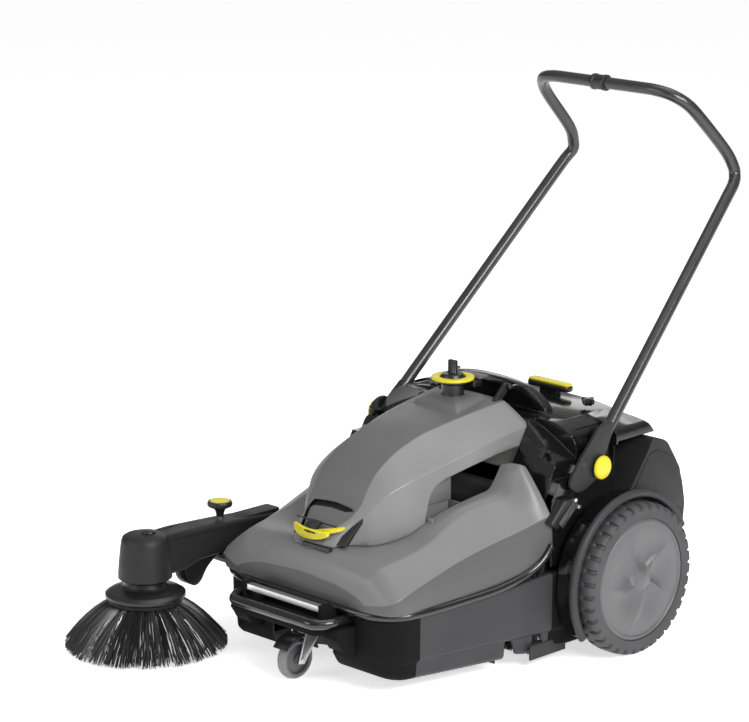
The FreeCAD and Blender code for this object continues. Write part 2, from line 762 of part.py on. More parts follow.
def castor_fork():
    """Castor fork with its stem, and the axle of the castor wheel."""
    crown = span(-20, 20, "@castor_y - 24", "@castor_y + 18", 92, 97)
    legs = []
    for x in (-20, 16.5):
        wheel_y = size("castor_y") - size("castor_trail")
        outline = [(wheel_y - 9, 34), (wheel_y + 6, 31), (wheel_y + 54, 93), (wheel_y + 12, 93)]
        legs.append(pad("yz", outline, x, 3.5))
    stem = rod("z", 0, "@castor_y", 96, 8, 40)
    axle = rod("x", -23, "@castor_y - @castor_trail", "@castor_radius", 4, 46)
    return finish(fuse(crown, stem, axle, *legs), "castor_fork")


def castor_hub():
    outline = [(4.05, 1), (11, 0), (11, 5), (27, 8), (29, 4), (29, 22), (27, 18), (11, 21), (11, 26), (4.05, 25)]
    hub = placed(turned(outline), "x", -13, size("castor_y") - size("castor_trail"), size("castor_radius"))
    return finish(group(hub), "castor_hub")


def castor_tyre():
    r = size("castor_radius")
    outline = [(29.2, 3), (r - 6, 1), (r - 1.5, 6), (r, 13), (r - 1.5, 20), (r - 6, 25), (29.2, 23)]
    ring = placed(turned(outline), "x", -13, size("castor_y") - size("castor_trail"), r)
    return finish(group(ring), "castor_tyre")


# ---------------------------------------------------------------- roller brush


def roller_shaft():
    bar = rod("x", -264, "@roller_y", "@roller_z", "@shaft_radius + 4", "@pulley_x + @pulley_width + 264")
    return finish(group(bar), "roller_shaft")


def roller_core():
    tube = cut(
        rod("x", "-@roller_half", "@roller_y", "@roller_z", "@roller_core", "2 * @roller_half"),
        rod("x", "-@roller_half - 1", "@roller_y", "@roller_z", "@shaft_radius + 4", "2 * @roller_half + 2"),
    )
    return finish(tube, "roller_core")


def roller_bristles():
    """Dense bristle cover of the roller, as a sleeve."""
    sleeve = cut(
        rod("x", -236, "@roller_y", "@roller_z", "@roller_radius", 472),
        rod("x", -237, "@roller_y", "@roller_z", "@roller_core", 474),
    )
    return finish(sleeve, "roller_bristles")


# ---------------------------------------------------------------- side brush


def arm_shell():
    """Hollow arm: a round motor pot at the brush end and a long box section back to the pivot."""
    pot = cone("@brush_x", "@brush_y", 138, 53, 47, 95)
    side = [(-672, 150), (-672, 226), (-560, 226), (-460, 217), (-322, 207), (-286, 203), (-282, 176), (-300, 166),
            (-440, 154), (-520, 152), (-560, 138), (-640, 138)]
    beam = pad("yz", side, size("brush_x") - 28, 56)
    front_trim = plain(
        Part.makeBox(120, 60, 200, Vector(size("brush_x") - 60, -701, 100)).cut(
            Part.makeCylinder(53, 300, Vector(size("brush_x"), size("brush_y"), 60))
        )
    )
    inner_pot = cone("@brush_x", "@brush_y", 130, 50, 44, 99)
    inner_side = [(-600, 100), (-600, 222), (-560, 222), (-460, 213), (-322, 203), (-290, 199), (-290, 150),
                  (-300, 100)]
    inner_beam = pad("yz", inner_side, size("brush_x") - 24, 48)
    bore = rod("x", "@brush_x - 60", "@arm_pivot_y", "@arm_pivot_z", 7.05, 120)
    screw = rod("z", "@brush_x", -445, 120, 6.05, 140)
    return finish(cut(fuse(pot, beam), front_trim, inner_pot, inner_beam, bore, screw), "arm_shell")


def brush_motor():
    """Gear motor in the pot, with its output bore open below."""
    can = rod("z", "@brush_x", "@brush_y", 152, 36, 66)
    gearbox = rod("z", "@brush_x", "@brush_y", 136, 43, 16)
    bore = rod("z", "@brush_x", "@brush_y", 120, 6.05, 60)
    return finish(cut(fuse(can, gearbox), bore), "brush_motor")


def brush_disc():
    """Turned cap of the side brush: spindle, neck, sloping flange and the block that holds the bristles."""
    x, y, flange = size("brush_x"), size("brush_y"), size("brush_flange")
    outline = [
        (0, 170), (6, 170), (6, 134), (40, 134), (42, 126), (46, 122), (flange - 8, 114), (flange, 109),
        (flange, 103), (flange - 4, 99), (flange - 6, 92), (52, 92), (52, 100), (0, 104),
    ]
    disc = placed(turned(outline), "z", x, y, 0)
    return finish(group(disc), "brush_disc")


def brush_bristles():
    """Flared skirt that the bristles fill."""
    x, y, tip = size("brush_x"), size("brush_y"), size("brush_tip")
    outline = [(53, 91.5), (70, 91.5), (102, 62), (132, 34), (tip, 8), (tip - 6, 3), (122, 3), (90, 44)]
    skirt = placed(turned(outline), "z", x, y, 0)
    return finish(group(skirt), "brush_bristles")


def arm_knob():
    """Height screw of the side brush with a round grip; its end stands just above the bracket's foot."""
    outline = [(0, 240), (22, 240), (25, 244), (25, 250), (22, 252), (20, 252), (20, 250), (0, 250)]
    grip = placed(turned(outline), "z", size("brush_x"), -445, 0)
    neck = cone("@brush_x", -445, 221, 9, 8, 19.5)
    screw = rod("z", "@brush_x", -445, 142.3, 6, 84)
    return finish(fuse(grip, neck, screw), "arm_knob")


def arm_knob_cap():
    disc = rod("z", "@brush_x", -445, 250.3, 19.5, 3)
    return finish(group(disc), "arm_knob_cap")


# ---------------------------------------------------------------- push handle


def handle_points(side):
    x = size("handle_x") + size("bracket_thick") / 2
    return [
        Vector(side * x, -42, 428),
        Vector(side * (x - 1), -22, 449),
        Vector(side * size("bend_x"), size("bend_y"), size("bend_z")),
        Vector(side * 213, size("bar_y"), size("bar_z")),
        Vector(0, size("bar_y"), size("bar_z")),
    ]


def handle_tube(side, name):
    radius, wall = size("tube_radius"), size("tube_wall")
    radii = [60, 75, 92]
    points = handle_points(side)
    points[-1] = Vector(side * 1.0, size("bar_y"), size("bar_z"))
    outer = pipe(points, radii, radius)
    inner = pipe(points, radii, radius - wall)
    return finish(plain(outer.cut(inner)), name)


def handle_sleeve():
    tube = cut(rod("x", -21, "@bar_y", "@bar_z", 15.5, 42), rod("x", -22, "@bar_y", "@bar_z", 12.1, 44))
    screw = rod("z", 0, "@bar_y", "@bar_z - 21", 3.5, 8)
    return finish(fuse(tube, screw), "handle_sleeve")


def clamp_knob(side, name):
    """Round knob that clamps the handle against its bolt."""
    outline = [(0, 0.3), (19, 0.3), (23, 3), (23.5, 8), (21, 10.5), (18, 10), (0, 10)]
    knob = turned(outline)
    x = size("handle_x") + size("bracket_thick") + 2
    knob.Placement = Placement(Vector(side * x, size("pivot_y"), size("pivot_z")), wheel_turn(side))
    return finish(group(knob), name)


def handle_bracket(side, name):
    """Wide moulded bracket at the foot of the handle, with a socket for the tube."""
    outline = [(-62, 440), (-40, 452), (-22, 446), (-10, 424), (-16, 386), (-30, 350), (-72, 312), (-92, 305),
               (-122, 324), (-126, 350)]
    thick = size("bracket_thick")
    low = size("handle_x") if side > 0 else -size("handle_x") - thick
    plate = pad("yz", outline, low, thick)
    bore = rod("x", low - 2, "@pivot_y", "@pivot_z", 7.05, thick + 4)
    tube_seat = plain(pipe(handle_points(side)[:3], [60], size("tube_radius")))
    return finish(cut(plate, bore, tube_seat), name)


# ---------------------------------------------------------------- container and controls at the rear


def waste_container():
    """Open bin with a throat at the front, broad shoulders above the wheels and a grip recess at the back."""
    back = size("container_back")
    side = [(34, 48), (34, 286), (104, 374), (114, 388), (152, 374), (190, 328), (206, 292), (back - 3, 246),
            (206, 150), (186, 64), (174, 48)]
    room = [(28, 132.5), (28, 62), (38, 52), (172, 52), (182, 66), (202, 150), (back - 8, 246), (202, 290),
            (187, 325), (150, 369), (115, 383), (107, 371), (38, 284), (38, 132.5)]
    low = span(-285, 285, 10, 260, 30, 196)
    high = span(-297, 297, 10, 260, 195, 400)
    blank = common(pad("yz", side, -297, 594), fuse(low, high))
    room_low = span(-281, 281, 10, 260, 30, 200)
    room_high = span(-293, 293, 10, 260, 199, 400)
    inside = common(pad("yz", room, -293, 586), fuse(room_low, room_high))
    throat = span(-250, 250, 20, 60, 66, 128)
    filter_mouth = span(-200, 200, 90, 140, 366, 400)
    grip = span(-70, 70, "@container_back - 24", "@container_back + 5", 206, 236)
    grip_cup = span(-74, 74, "@container_back - 28", "@container_back - 8", 202, 240)
    cup = common(grip_cup, pad("yz", side, -80, 160))
    return finish(cut(fuse(cut(blank, inside, throat, filter_mouth), cup), grip), "waste_container")


def shaker_handle():
    """Pull handle of the filter shaker: a broad bar on a stem that goes through the lid."""
    bar = span("@shaker_x - 54", "@shaker_x + 54", "@shaker_y - 13", "@shaker_y + 13", 460, 470)
    neck = span("@shaker_x - 24", "@shaker_x + 24", "@shaker_y - 9", "@shaker_y + 9", 451.5, 461)
    stem = rod("z", "@shaker_x", "@shaker_y", 412, 5, 40)
    foot = span("@shaker_x - 14", "@shaker_x + 14", "@shaker_y - 10", "@shaker_y + 10", 408, 413)
    return finish(fuse(bar, neck, stem, foot), "shaker_handle")


def shaker_cap():
    bar = span("@shaker_x - 52", "@shaker_x + 52", "@shaker_y - 12", "@shaker_y + 12", 470, 474)
    return finish(group(bar), "shaker_cap")


def deck_knobs():
    """Four-winged screws: two hold the filter lid and two the front of the housing."""
    def winged(place):
        hub = rod("z", 0, 0, 0.3, 8, 9)
        stud = rod("z", 0, 0, -17, 4, 20)
        wings = [span(-16, 16, -3, 3, 3, 15), span(-3, 3, -16, 16, 3, 15)]
        knob = fuse(hub, stud, *wings)
        knob.Placement = place
        return knob

    flat = Rotation()
    deck_top = size("deck_z") + 7
    knobs = []
    for side in (1, -1):
        knobs.append(winged(Placement(Vector(side * size("knob_x"), size("knob_y"), deck_top), flat)))
        knobs.append(winged(low_screw_place(side)))
    return finish(group(*knobs), "deck_knobs")


chassis_tub()
brush_tunnel()
roller_bearings()
rear_axle()
sealing_strips()
battery()
drive_motor()
motor_shaft()
grooved_pulley(size("motor_pulley"), size("shaft_radius"), size("motor_y"), size("motor_z"), "motor_pulley")
grooved_pulley(size("roller_pulley"), size("shaft_radius") + 4, size("roller_y"), size("roller_z"), "roller_pulley")
drive_belt()
fan_impeller()
fan_housing()
bonnet()
upper_cover()
console()
status_display()
selector_ring()
selector_knob()
latch()
rear_housing()
filter_element()
filter_lid()
front_frame()
castor_plate()
carry_bar()
accessory_rail()
pivot_bolts()
arm_mount()
castor_fork()
castor_hub()
castor_tyre()
roller_shaft()
roller_core()
roller_bristles()
arm_shell()
brush_motor()
brush_disc()
brush_bristles()
arm_knob()
arm_knob_cap()
handle_sleeve()
waste_container()
shaker_handle()
shaker_cap()
deck_knobs()
for side, word in ((1, "left"), (-1, "right")):
    wheel_arch(side, f"wheel_arch_{word}")
    wheel_hub(side, f"wheel_{word}")
    tyre(side, f"tyre_{word}")
    hub_cap(side, f"hub_cap_{word}")
    handle_tube(side, f"handle_tube_{word}")
    handle_bracket(side, f"handle_bracket_{word}")
    clamp_knob(side, f"clamp_knob_{word}")

doc.recompute()
for obj in doc.Objects:
    if "Invalid" in obj.State or "Error" in obj.State:
        raise SystemExit(f"{obj.Name} ({obj.Label}) failed: {obj.State}")
os.makedirs("parts", exist_ok=True)
whole = FreeCAD.BoundBox()
for obj in parts:
    shape = obj.Shape
    if shape.isNull() or not shape.isValid() or not shape.Solids:
        raise SystemExit(f"{obj.Label} has no valid shape")
    whole.add(shape.BoundBox)
    shape.exportStep(f"parts/{obj.Label}.step")
print(len(parts), "pieces; box", whole)
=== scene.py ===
"""Looks of the walk-behind sweeper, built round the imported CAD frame."""

import json
import math
import random

import bmesh
import bpy
from mathutils import Matrix, Vector


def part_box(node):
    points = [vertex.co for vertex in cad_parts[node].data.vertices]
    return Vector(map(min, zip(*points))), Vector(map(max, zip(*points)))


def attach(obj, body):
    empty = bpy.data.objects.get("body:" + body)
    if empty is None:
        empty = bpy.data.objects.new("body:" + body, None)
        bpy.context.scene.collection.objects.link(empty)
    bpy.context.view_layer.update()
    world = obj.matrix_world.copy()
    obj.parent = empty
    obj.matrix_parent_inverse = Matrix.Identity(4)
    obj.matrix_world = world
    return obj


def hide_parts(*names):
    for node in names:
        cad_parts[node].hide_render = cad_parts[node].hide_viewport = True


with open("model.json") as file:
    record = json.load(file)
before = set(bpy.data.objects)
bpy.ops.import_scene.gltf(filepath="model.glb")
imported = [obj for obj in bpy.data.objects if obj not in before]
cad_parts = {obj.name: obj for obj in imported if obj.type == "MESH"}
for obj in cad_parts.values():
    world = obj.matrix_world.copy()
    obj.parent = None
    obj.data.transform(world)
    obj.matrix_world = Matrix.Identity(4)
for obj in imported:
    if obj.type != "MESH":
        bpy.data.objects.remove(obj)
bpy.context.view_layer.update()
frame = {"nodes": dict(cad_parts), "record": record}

# Machine coordinates are millimetres from the middle plane, the rear axle and the floor. The front is at -Y.
axle_low, axle_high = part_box("rear_axle")
axle_middle = (axle_low + axle_high) / 2
TO_FRAME = Matrix.Translation((axle_middle.x, axle_middle.y, 0)) @ Matrix.Scale(0.001, 4)
TO_MACHINE = TO_FRAME.inverted()

SIDES = ((1, "left"), (-1, "right"))
AXLE_HEIGHT = 150
DECK_HEIGHT = 444
HOUSING_HALF = 279.5
HANDLE_PIVOT = (-45, 370)  # y and z of the bolts that the handle turns on
COVER_HINGE = (-64, 492)  # y and z of the cover's hinge
BAR = (290, 1042)  # y and z of the handle's top bar
ARM_X = -342
BRUSH_Y = -641
SCREW_Y = -445
WELD = 0.00001  # metres between points that count as one


def point(x, y, z):
    """A point in machine coordinates, in the row frame."""
    return TO_FRAME @ Vector((x, y, z))


def middle_of(node):
    """The centre of a CAD node's box, in machine coordinates."""
    low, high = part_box(node)
    return TO_MACHINE @ ((low + high) / 2)


def side_limits(node):
    """How far the two sides of a CAD node's box are from the middle plane, the nearer one first."""
    return sorted(abs((TO_MACHINE @ corner).x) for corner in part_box(node))


def span(side, near, far):
    """Limits in x of something on one side of the machine, the lower one first."""
    return sorted((side * near, side * far))


def away(side):
    """The axis that points out of the machine on one side."""
    return "x" if side > 0 else "-x"


# ---------------------------------------------------------------- materials


def node_tree(name):
    material = bpy.data.materials.new(name)
    material.use_nodes = True
    tree = material.node_tree
    return material, tree, tree.nodes["Principled BSDF"]


def link(tree, out_node, out_name, in_node, in_name):
    tree.links.new(out_node.outputs[out_name], in_node.inputs[in_name])


def set_inputs(node, values):
    for name, value in values.items():
        node.inputs[name].default_value = value


def noise(tree, scale, detail, stretch=(1, 1, 1)):
    """A noise texture in the object's own space. Stretch draws the pattern out along an axis."""
    where = tree.nodes.new("ShaderNodeTexCoord")
    mapping = tree.nodes.new("ShaderNodeMapping")
    set_inputs(mapping, {"Scale": stretch})
    texture = tree.nodes.new("ShaderNodeTexNoise")
    set_inputs(texture, {"Scale": scale, "Detail": detail})
    link(tree, where, "Object", mapping, "Vector")
    link(tree, mapping, "Vector", texture, "Vector")
    return texture


def value_range(tree, low_in, high_in, low, high):
    """A node that maps one range of values to another."""
    ramp = tree.nodes.new("ShaderNodeMapRange")
    set_inputs(ramp, {"From Min": low_in, "From Max": high_in, "To Min": low, "To Max": high})
    return ramp


def spread(tree, texture, low, high):
    """Maps a noise texture, which seldom leaves 0.3 to 0.7, to a range of values."""
    ramp = value_range(tree, 0.3, 0.7, low, high)
    link(tree, texture, "Fac", ramp, "Value")
    return ramp


SMEAR = 0.06  # how far the roughness varies to each side


def surface(name, colour, roughness, metallic=0.0, patch=0.10, grain=900.0, depth=0.00004, coat=0.0,
            edge=0.0012, stretch=(1, 1, 1), specular=0.5):
    """A moulded, painted or machined surface with uneven colour and gloss, fine grain and softened edges."""
    material, tree, shader = node_tree(name)
    set_inputs(shader, {"Metallic": metallic, "Coat Weight": coat, "Specular IOR Level": specular,
                        "Coat Roughness": 0.12})
    mix = tree.nodes.new("ShaderNodeMix")
    mix.data_type = "RGBA"
    set_inputs(mix, {"A": (*[c * (1 - patch) for c in colour], 1),
                     "B": (*[min(1.0, c * (1 + patch)) for c in colour], 1)})
    patches = noise(tree, 7.0, 5.0)
    link(tree, spread(tree, patches, 0, 1), "Result", mix, "Factor")
    link(tree, mix, "Result", shader, "Base Color")
    smears = noise(tree, 24.0, 4.0, stretch)
    rough = spread(tree, smears, max(0.02, roughness - SMEAR), roughness + SMEAR)
    link(tree, rough, "Result", shader, "Roughness")
    bump = tree.nodes.new("ShaderNodeBump")
    set_inputs(bump, {"Strength": 1.0, "Distance": depth})
    link(tree, noise(tree, grain, 2.0, stretch), "Fac", bump, "Height")
    if edge:
        bevel = tree.nodes.new("ShaderNodeBevel")
        bevel.samples = 4
        set_inputs(bevel, {"Radius": edge})
        link(tree, bevel, "Normal", bump, "Normal")
    link(tree, bump, "Normal", shader, "Normal")
    return material


MOULDED = {"patch": 0.04, "grain": 1400, "depth": 0.00002, "edge": 0.002}
# These four greys are one grey. The side copy is lightened as painted light; the panel and flank copies are
# darkened as painted shade.
GREY_SIDE_LIT = surface("grey_side_painted_light", (0.170, 0.170, 0.172), 0.38, **MOULDED)
GREY = surface("grey_cover", (0.142, 0.142, 0.144), 0.38, **MOULDED)
GREY_FLANK_SHADED = surface("grey_flank_painted_shade", (0.068, 0.068, 0.070), 0.40, **MOULDED)
GREY_PANEL_SHADED = surface("grey_panel_painted_shade", (0.108, 0.108, 0.110), 0.42, **MOULDED)
GLOSS = surface("gloss_black", (0.006, 0.006, 0.0065), 0.16, patch=0.2, grain=500, depth=0.00001, coat=0.3,
                edge=0.003)
CHARCOAL = surface("charcoal", (0.030, 0.030, 0.032), 0.50, patch=0.12, grain=1100, edge=0.003, specular=0.3)
BLACK = surface("satin_black", (0.010, 0.010, 0.011), 0.34, patch=0.15, grain=1200, depth=0.00003,
                edge=0.0015)
MATT = surface("matt_black", (0.016, 0.016, 0.017), 0.50, patch=0.15, grain=1100, edge=0.002, specular=0.3)
YELLOW = surface("yellow", (0.58, 0.51, 0.010), 0.38, patch=0.04, grain=1200, depth=0.00002, edge=0.001)
TYRE = surface("tyre", (0.040, 0.040, 0.042), 0.62, patch=0.25, grain=700, depth=0.0001, edge=0)
WHEEL = surface("wheel_grey", (0.090, 0.090, 0.093), 0.42, patch=0.06, grain=1200, depth=0.00003, edge=0.001)
SOFT_GREY = surface("castor_rubber", (0.16, 0.16, 0.165), 0.6, patch=0.12, depth=0.00005, edge=0.001)
ZINC = surface("zinc", (0.62, 0.62, 0.64), 0.3, metallic=1.0, patch=0.08, grain=300, depth=0.00002,
               edge=0.0006)
ALUMINIUM = surface("aluminium", (0.80, 0.80, 0.81), 0.28, metallic=1.0, patch=0.04, grain=500, depth=0.00002,
                    edge=0.0006, stretch=(0.05, 1, 1))
TUBE = surface("tube", (0.022, 0.022, 0.024), 0.30, patch=0.15, grain=1500, depth=0.00002, coat=0.15, edge=0)
BRISTLE = surface("bristles", (0.020, 0.020, 0.021), 0.42, patch=0.5, grain=600, depth=0.00005, edge=0)
BRISTLE_PALE = surface("bristles_pale", (0.085, 0.085, 0.088), 0.40, patch=0.4, grain=600, depth=0.00005,
                       edge=0)
CASE = surface("battery_case", (0.10, 0.10, 0.105), 0.5, depth=0.00005)
MOTOR = surface("motor_metal", (0.22, 0.22, 0.23), 0.42, metallic=0.9, grain=400, depth=0.00005)
PAPER = surface("filter_paper", (0.62, 0.60, 0.53), 0.85, grain=700, depth=0.0002)
# Near-black with little gloss: painted shade for the tub's nose and the part between the wheels, the side
# recesses, the hump's hollow and the front frame.
SHADE_BLACK = surface("painted_shade_black", (0.006, 0.006, 0.006), 0.75, patch=0.2, specular=0.1)
SEAL = surface("seal_rubber", (0.02, 0.02, 0.02), 0.7, patch=0.2, grain=600, depth=0.0001)

BY_SLOT = {
    "grey_cover": GREY, "black_gloss": GLOSS, "charcoal": CHARCOAL, "black_part": BLACK, "yellow": YELLOW,
    "tyre": TYRE, "wheel_grey": WHEEL, "castor_rubber": SOFT_GREY, "zinc": ZINC, "aluminium": ALUMINIUM,
    "bristles": BRISTLE, "tube": TUBE, "battery_case": CASE, "motor_metal": MOTOR, "filter_paper": PAPER,
    "seal_rubber": SEAL,
}
for sub in frame["record"]["subparts"]:
    node = frame["nodes"][sub["node"]]
    node.data.materials.clear()
    node.data.materials.append(BY_SLOT[sub["material_slot"]])


# ---------------------------------------------------------------- mesh helpers


def rides(obj, body, *nodes, slot=None):
    """Puts a finished piece on its body, in place of CAD nodes."""
    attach(obj, body)
    if nodes:
        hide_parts(*nodes)
    return obj


def placed(name, data):
    """A new object in the scene."""
    obj = bpy.data.objects.new(name, data)
    bpy.context.scene.collection.objects.link(obj)
    return obj


def smooth(obj, angle=35):
    obj.data.shade_smooth()
    obj.data.set_sharp_from_angle(angle=math.radians(angle))
    return obj


def mesh_object(name, vertices, faces, material, angle=35, outwards=True, tones=None):
    """A mesh in machine coordinates, moved to the row frame. Tones gives each face its material number."""
    mesh = bpy.data.meshes.new(name)
    mesh.from_pydata([tuple(v) for v in vertices], [], faces)
    materials = material if isinstance(material, list) else [material]
    for each in materials:
        mesh.materials.append(each)
    if tones:
        for polygon, tone in zip(mesh.polygons, tones):
            polygon.material_index = tone
    mesh.transform(TO_FRAME)
    tidy = bmesh.new()
    tidy.from_mesh(mesh)
    bmesh.ops.remove_doubles(tidy, verts=tidy.verts, dist=WELD)
    if outwards:
        bmesh.ops.recalc_face_normals(tidy, faces=tidy.faces)
    tidy.to_mesh(mesh)
    tidy.free()
    return smooth(placed(name, mesh), angle)


def bands(rings, count, first=0, closed=True, wrapped=False, capped=False):
    """Faces between rings of points, where the first ring starts at a given vertex.

    Closed joins the ends of each ring, wrapped joins the last ring to the first, and capped closes both ends.
    """
    faces = []
    for k in range(rings if wrapped else rings - 1):
        a, b = first + k * count, first + (k + 1) % rings * count
        for i in range(count if closed else count - 1):
            j = (i + 1) % count
            faces.append((a + i, a + j, b + j, b + i))
    if capped:
        last = first + (rings - 1) * count
        faces += [tuple(range(first, first + count)), tuple(range(last, last + count))]
    return faces


def apply_modifiers(obj):
    """Turns the modifiers of a piece into mesh."""
    graph = bpy.context.evaluated_depsgraph_get()
    graph.update()
    mesh = bpy.data.meshes.new_from_object(obj.evaluated_get(graph))
    obj.modifiers.clear()
    obj.data = mesh
    return obj


def boolean(obj, operation, *tools, angle=35, careful=False):
    """Cuts shapes out of a piece, or adds them to it, and removes the shapes."""
    for tool in tools:
        change = obj.modifiers.new("boolean", "BOOLEAN")
        change.operation = operation
        change.solver = "EXACT"
        change.material_mode = "TRANSFER"
        change.use_self = careful
        change.use_hole_tolerant = careful
        change.object = tool
        apply_modifiers(obj)
        bpy.data.objects.remove(tool)
    return smooth(obj, angle)


def carve(obj, *tools, angle=35, careful=False):
    """Cuts shapes out of a piece."""
    return boolean(obj, "DIFFERENCE", *tools, angle=angle, careful=careful)


def joined(obj, *others):
    """Puts several shapes in one piece, as they are."""
    for other in others:
        offset = len(obj.data.materials)
        mesh = bmesh.new()
        mesh.from_mesh(obj.data)
        count = len(mesh.faces)
        mesh.from_mesh(other.data)
        mesh.faces.ensure_lookup_table()
        for face in mesh.faces[count:]:
            face.material_index += offset
        mesh.to_mesh(obj.data)
        mesh.free()
        for material in other.data.materials:
            obj.data.materials.append(material)
        bpy.data.objects.remove(other)
    return smooth(obj)


def bevelled(obj, width, segments=3, angle=40):
    """Rounds the edges of a piece. The width is in millimetres."""
    change = obj.modifiers.new("bevel", "BEVEL")
    change.width = width / 1000
    change.segments = segments
    change.limit_method = "ANGLE"
    change.angle_limit = math.radians(angle)
    apply_modifiers(obj)
    return smooth(obj, 50)


def shelled(obj, wall):
    """Gives an open surface a wall thickness inwards."""
    change = obj.modifiers.new("wall", "SOLIDIFY")
    change.thickness = wall / 1000
    change.offset = -1
    change.use_even_offset = True
    return apply_modifiers(obj)


def softened(name, node, width, material):
    """A CAD node's shape with its edges rounded."""
    mesh = frame["nodes"][node].data.copy()
    tidy = bmesh.new()
    tidy.from_mesh(mesh)
    bmesh.ops.remove_doubles(tidy, verts=tidy.verts, dist=WELD)
    bmesh.ops.dissolve_limit(tidy, angle_limit=math.radians(2), verts=tidy.verts, edges=tidy.edges)
    tidy.to_mesh(mesh)
    tidy.free()
    mesh.materials.clear()
    mesh.materials.append(material)
    return bevelled(placed(name, mesh), width, 2, 35)


def rounded(outline, radius, steps=5):
    """An outline with its corners rounded. A corner can give its own radius as a third value."""
    count = len(outline)
    result = []
    for i, corner in enumerate(outline):
        here = Vector(corner[:2])
        r = corner[2] if len(corner) > 2 else radius
        before = Vector(outline[i - 1][:2]) - here
        after = Vector(outline[(i + 1) % count][:2]) - here
        reach_a = min(r, before.length * 0.48)
        reach_b = min(r, after.length * 0.48)
        a = here + before.normalized() * reach_a
        b = here + after.normalized() * reach_b
        for k in range(steps + 1):
            t = k / steps
            result.append(tuple(a * (1 - t) ** 2 + here * 2 * t * (1 - t) + b * t * t))
    return result


# How an outline's two values and its depth become x, y and z.
LIFT = {"x": lambda a, b, c: (c, a, b), "y": lambda a, b, c: (a, c, b), "z": lambda a, b, c: (a, b, c)}


def prism(name, outline, low, high, material, axis="x"):
    """An extruded outline. Along x it is (y, z), along y it is (x, z) and along z it is (x, y)."""
    lift = LIFT[axis]
    count = len(outline)
    vertices = [lift(a, b, low) for a, b in outline] + [lift(a, b, high) for a, b in outline]
    faces = [tuple(range(count)), tuple(range(count, 2 * count))]
    faces += [(i, (i + 1) % count, count + (i + 1) % count, count + i) for i in range(count)]
    return mesh_object(name, vertices, faces, material)


def block(name, x, y, z, material):
    """A box between pairs of limits."""
    corners = [(y[0], z[0]), (y[1], z[0]), (y[1], z[1]), (y[0], z[1])]
    return prism(name, corners, x[0], x[1], material)


# How a radius, a height and a turn's cosine and sine become x, y and z.
SPIN = {
    "x": lambda r, h, c, s: (h, r * c, r * s),
    "-x": lambda r, h, c, s: (-h, r * c, r * s),
    "z": lambda r, h, c, s: (r * c, r * s, h),
}


def turned(name, outline, centre, axis, material, steps=64):
    """A turned piece. The outline is (radius, height) along the axis from the centre."""
    vertices = []
    for k in range(steps):
        turn = math.tau * k / steps
        for r, h in outline:
            x, y, z = SPIN[axis](r, h, math.cos(turn), math.sin(turn))
            vertices.append((centre[0] + x, centre[1] + y, centre[2] + z))
    faces = bands(steps, len(outline), closed=False, wrapped=True)
    return mesh_object(name, vertices, faces, material, angle=30)


def catmull(values, at):
    """A smooth curve through values, at a position counted in values."""
    i = min(int(at), len(values) - 2)
    t = at - i
    p1, p2 = values[i], values[i + 1]
    p0 = values[i - 1] if i else 2 * p1 - p2
    p3 = values[i + 2] if i + 2 < len(values) else 2 * p2 - p1
    return 0.5 * (2 * p1 + (p2 - p0) * t + (2 * p0 - 5 * p1 + 4 * p2 - p3) * t * t
                  + (3 * p1 - p0 - 3 * p2 + p3) * t ** 3)


def smooth_stations(stations, steps):
    """More cross-sections between the given ones, on smooth curves."""
    ys = [y for y, _ in stations]
    columns = [[half[k] for _, half in stations] for k in range(len(stations[0][1]))]
    result = []
    for n in range((len(stations) - 1) * steps + 1):
        at = n / steps
        half = [tuple(catmull([p[axis] for p in column], at) for axis in (0, 1)) for column in columns]
        result.append((catmull(ys, at), half))
    return result


CUTS = 5  # pieces that each side of a cross-section is drawn in


def half_outline(half, radii, crown, bow):
    """Half a cross-section from its lowest point to the middle plane, and the side that each piece is on."""
    points = [Vector(p) for p in half] + [Vector((0, half[-1][1] + crown))]
    path = [points[0]]
    parts = [0]
    for k in range(1, len(points)):
        here = points[k]
        if k == len(points) - 1:
            start = path[-1]
            for n in range(1, CUTS + 1):
                t = n / CUTS
                path.append(Vector((start.x * (1 - t), start.y + (here.y - start.y) * (2 * t - t * t))))
                parts.append(k - 1)
            break
        before, after = points[k - 1] - here, points[k + 1] - here
        reach = min(radii[k - 1], before.length * 0.45, after.length * 0.45)
        a = here + before.normalized() * reach
        b = here + after.normalized() * reach
        start = path[-1]
        side = (a - start).normalized()
        out = Vector((side.y, -side.x))
        for n in range(1, CUTS + 1):
            t = n / CUTS
            path.append(start + (a - start) * t + out * bow * 4 * t * (1 - t))
            parts.append(k - 1)
        path += [a * (1 - t) ** 2 + here * 2 * t * (1 - t) + b * t * t for t in (0.25, 0.5, 0.75, 1.0)]
        parts += [k - 1, k - 1, k, k]
    return [tuple(p) for p in path], parts[1:]


def skin(name, stations, material, radii, steps=5, crown=3.0, bow=1.5, closed=False, shades=None):
    """A smooth surface through cross-sections. Closed ones have a floor and a rear wall too.

    Shades gives the material of each side of the cross-section, from the lowest.
    """
    rows = []
    for y, half in smooth_stations(stations, steps):
        path, parts = half_outline(half, radii, crown, bow)
        rows.append([(x, y, z) for x, z in path] + [(-x, y, z) for x, z in reversed(path[:-1])])
    width = len(rows[0])
    parts += reversed(parts)
    vertices = [v for row in rows for v in row]
    faces, tones = [], []
    for r in range(len(rows) - 1):
        for c in range(width - 1):
            a = r * width + c
            faces.append((a, a + width, a + width + 1, a + 1))
            tones.append(parts[c])
        if closed:
            a = r * width
            faces.append((a, a + width - 1, a + 2 * width - 1, a + width))
            tones.append(0)
    faces.append(tuple(range(width)))
    tones.append(0)
    if closed:
        last = (len(rows) - 1) * width
        faces.append(tuple(reversed(range(last, last + width))))
        tones.append(0)
    if not shades:
        return mesh_object(name, vertices, faces, material, outwards=closed)
    materials = list(dict.fromkeys(shades))
    tones = [materials.index(shades[tone]) for tone in tones]
    return mesh_object(name, vertices, faces, materials, outwards=closed, tones=tones)


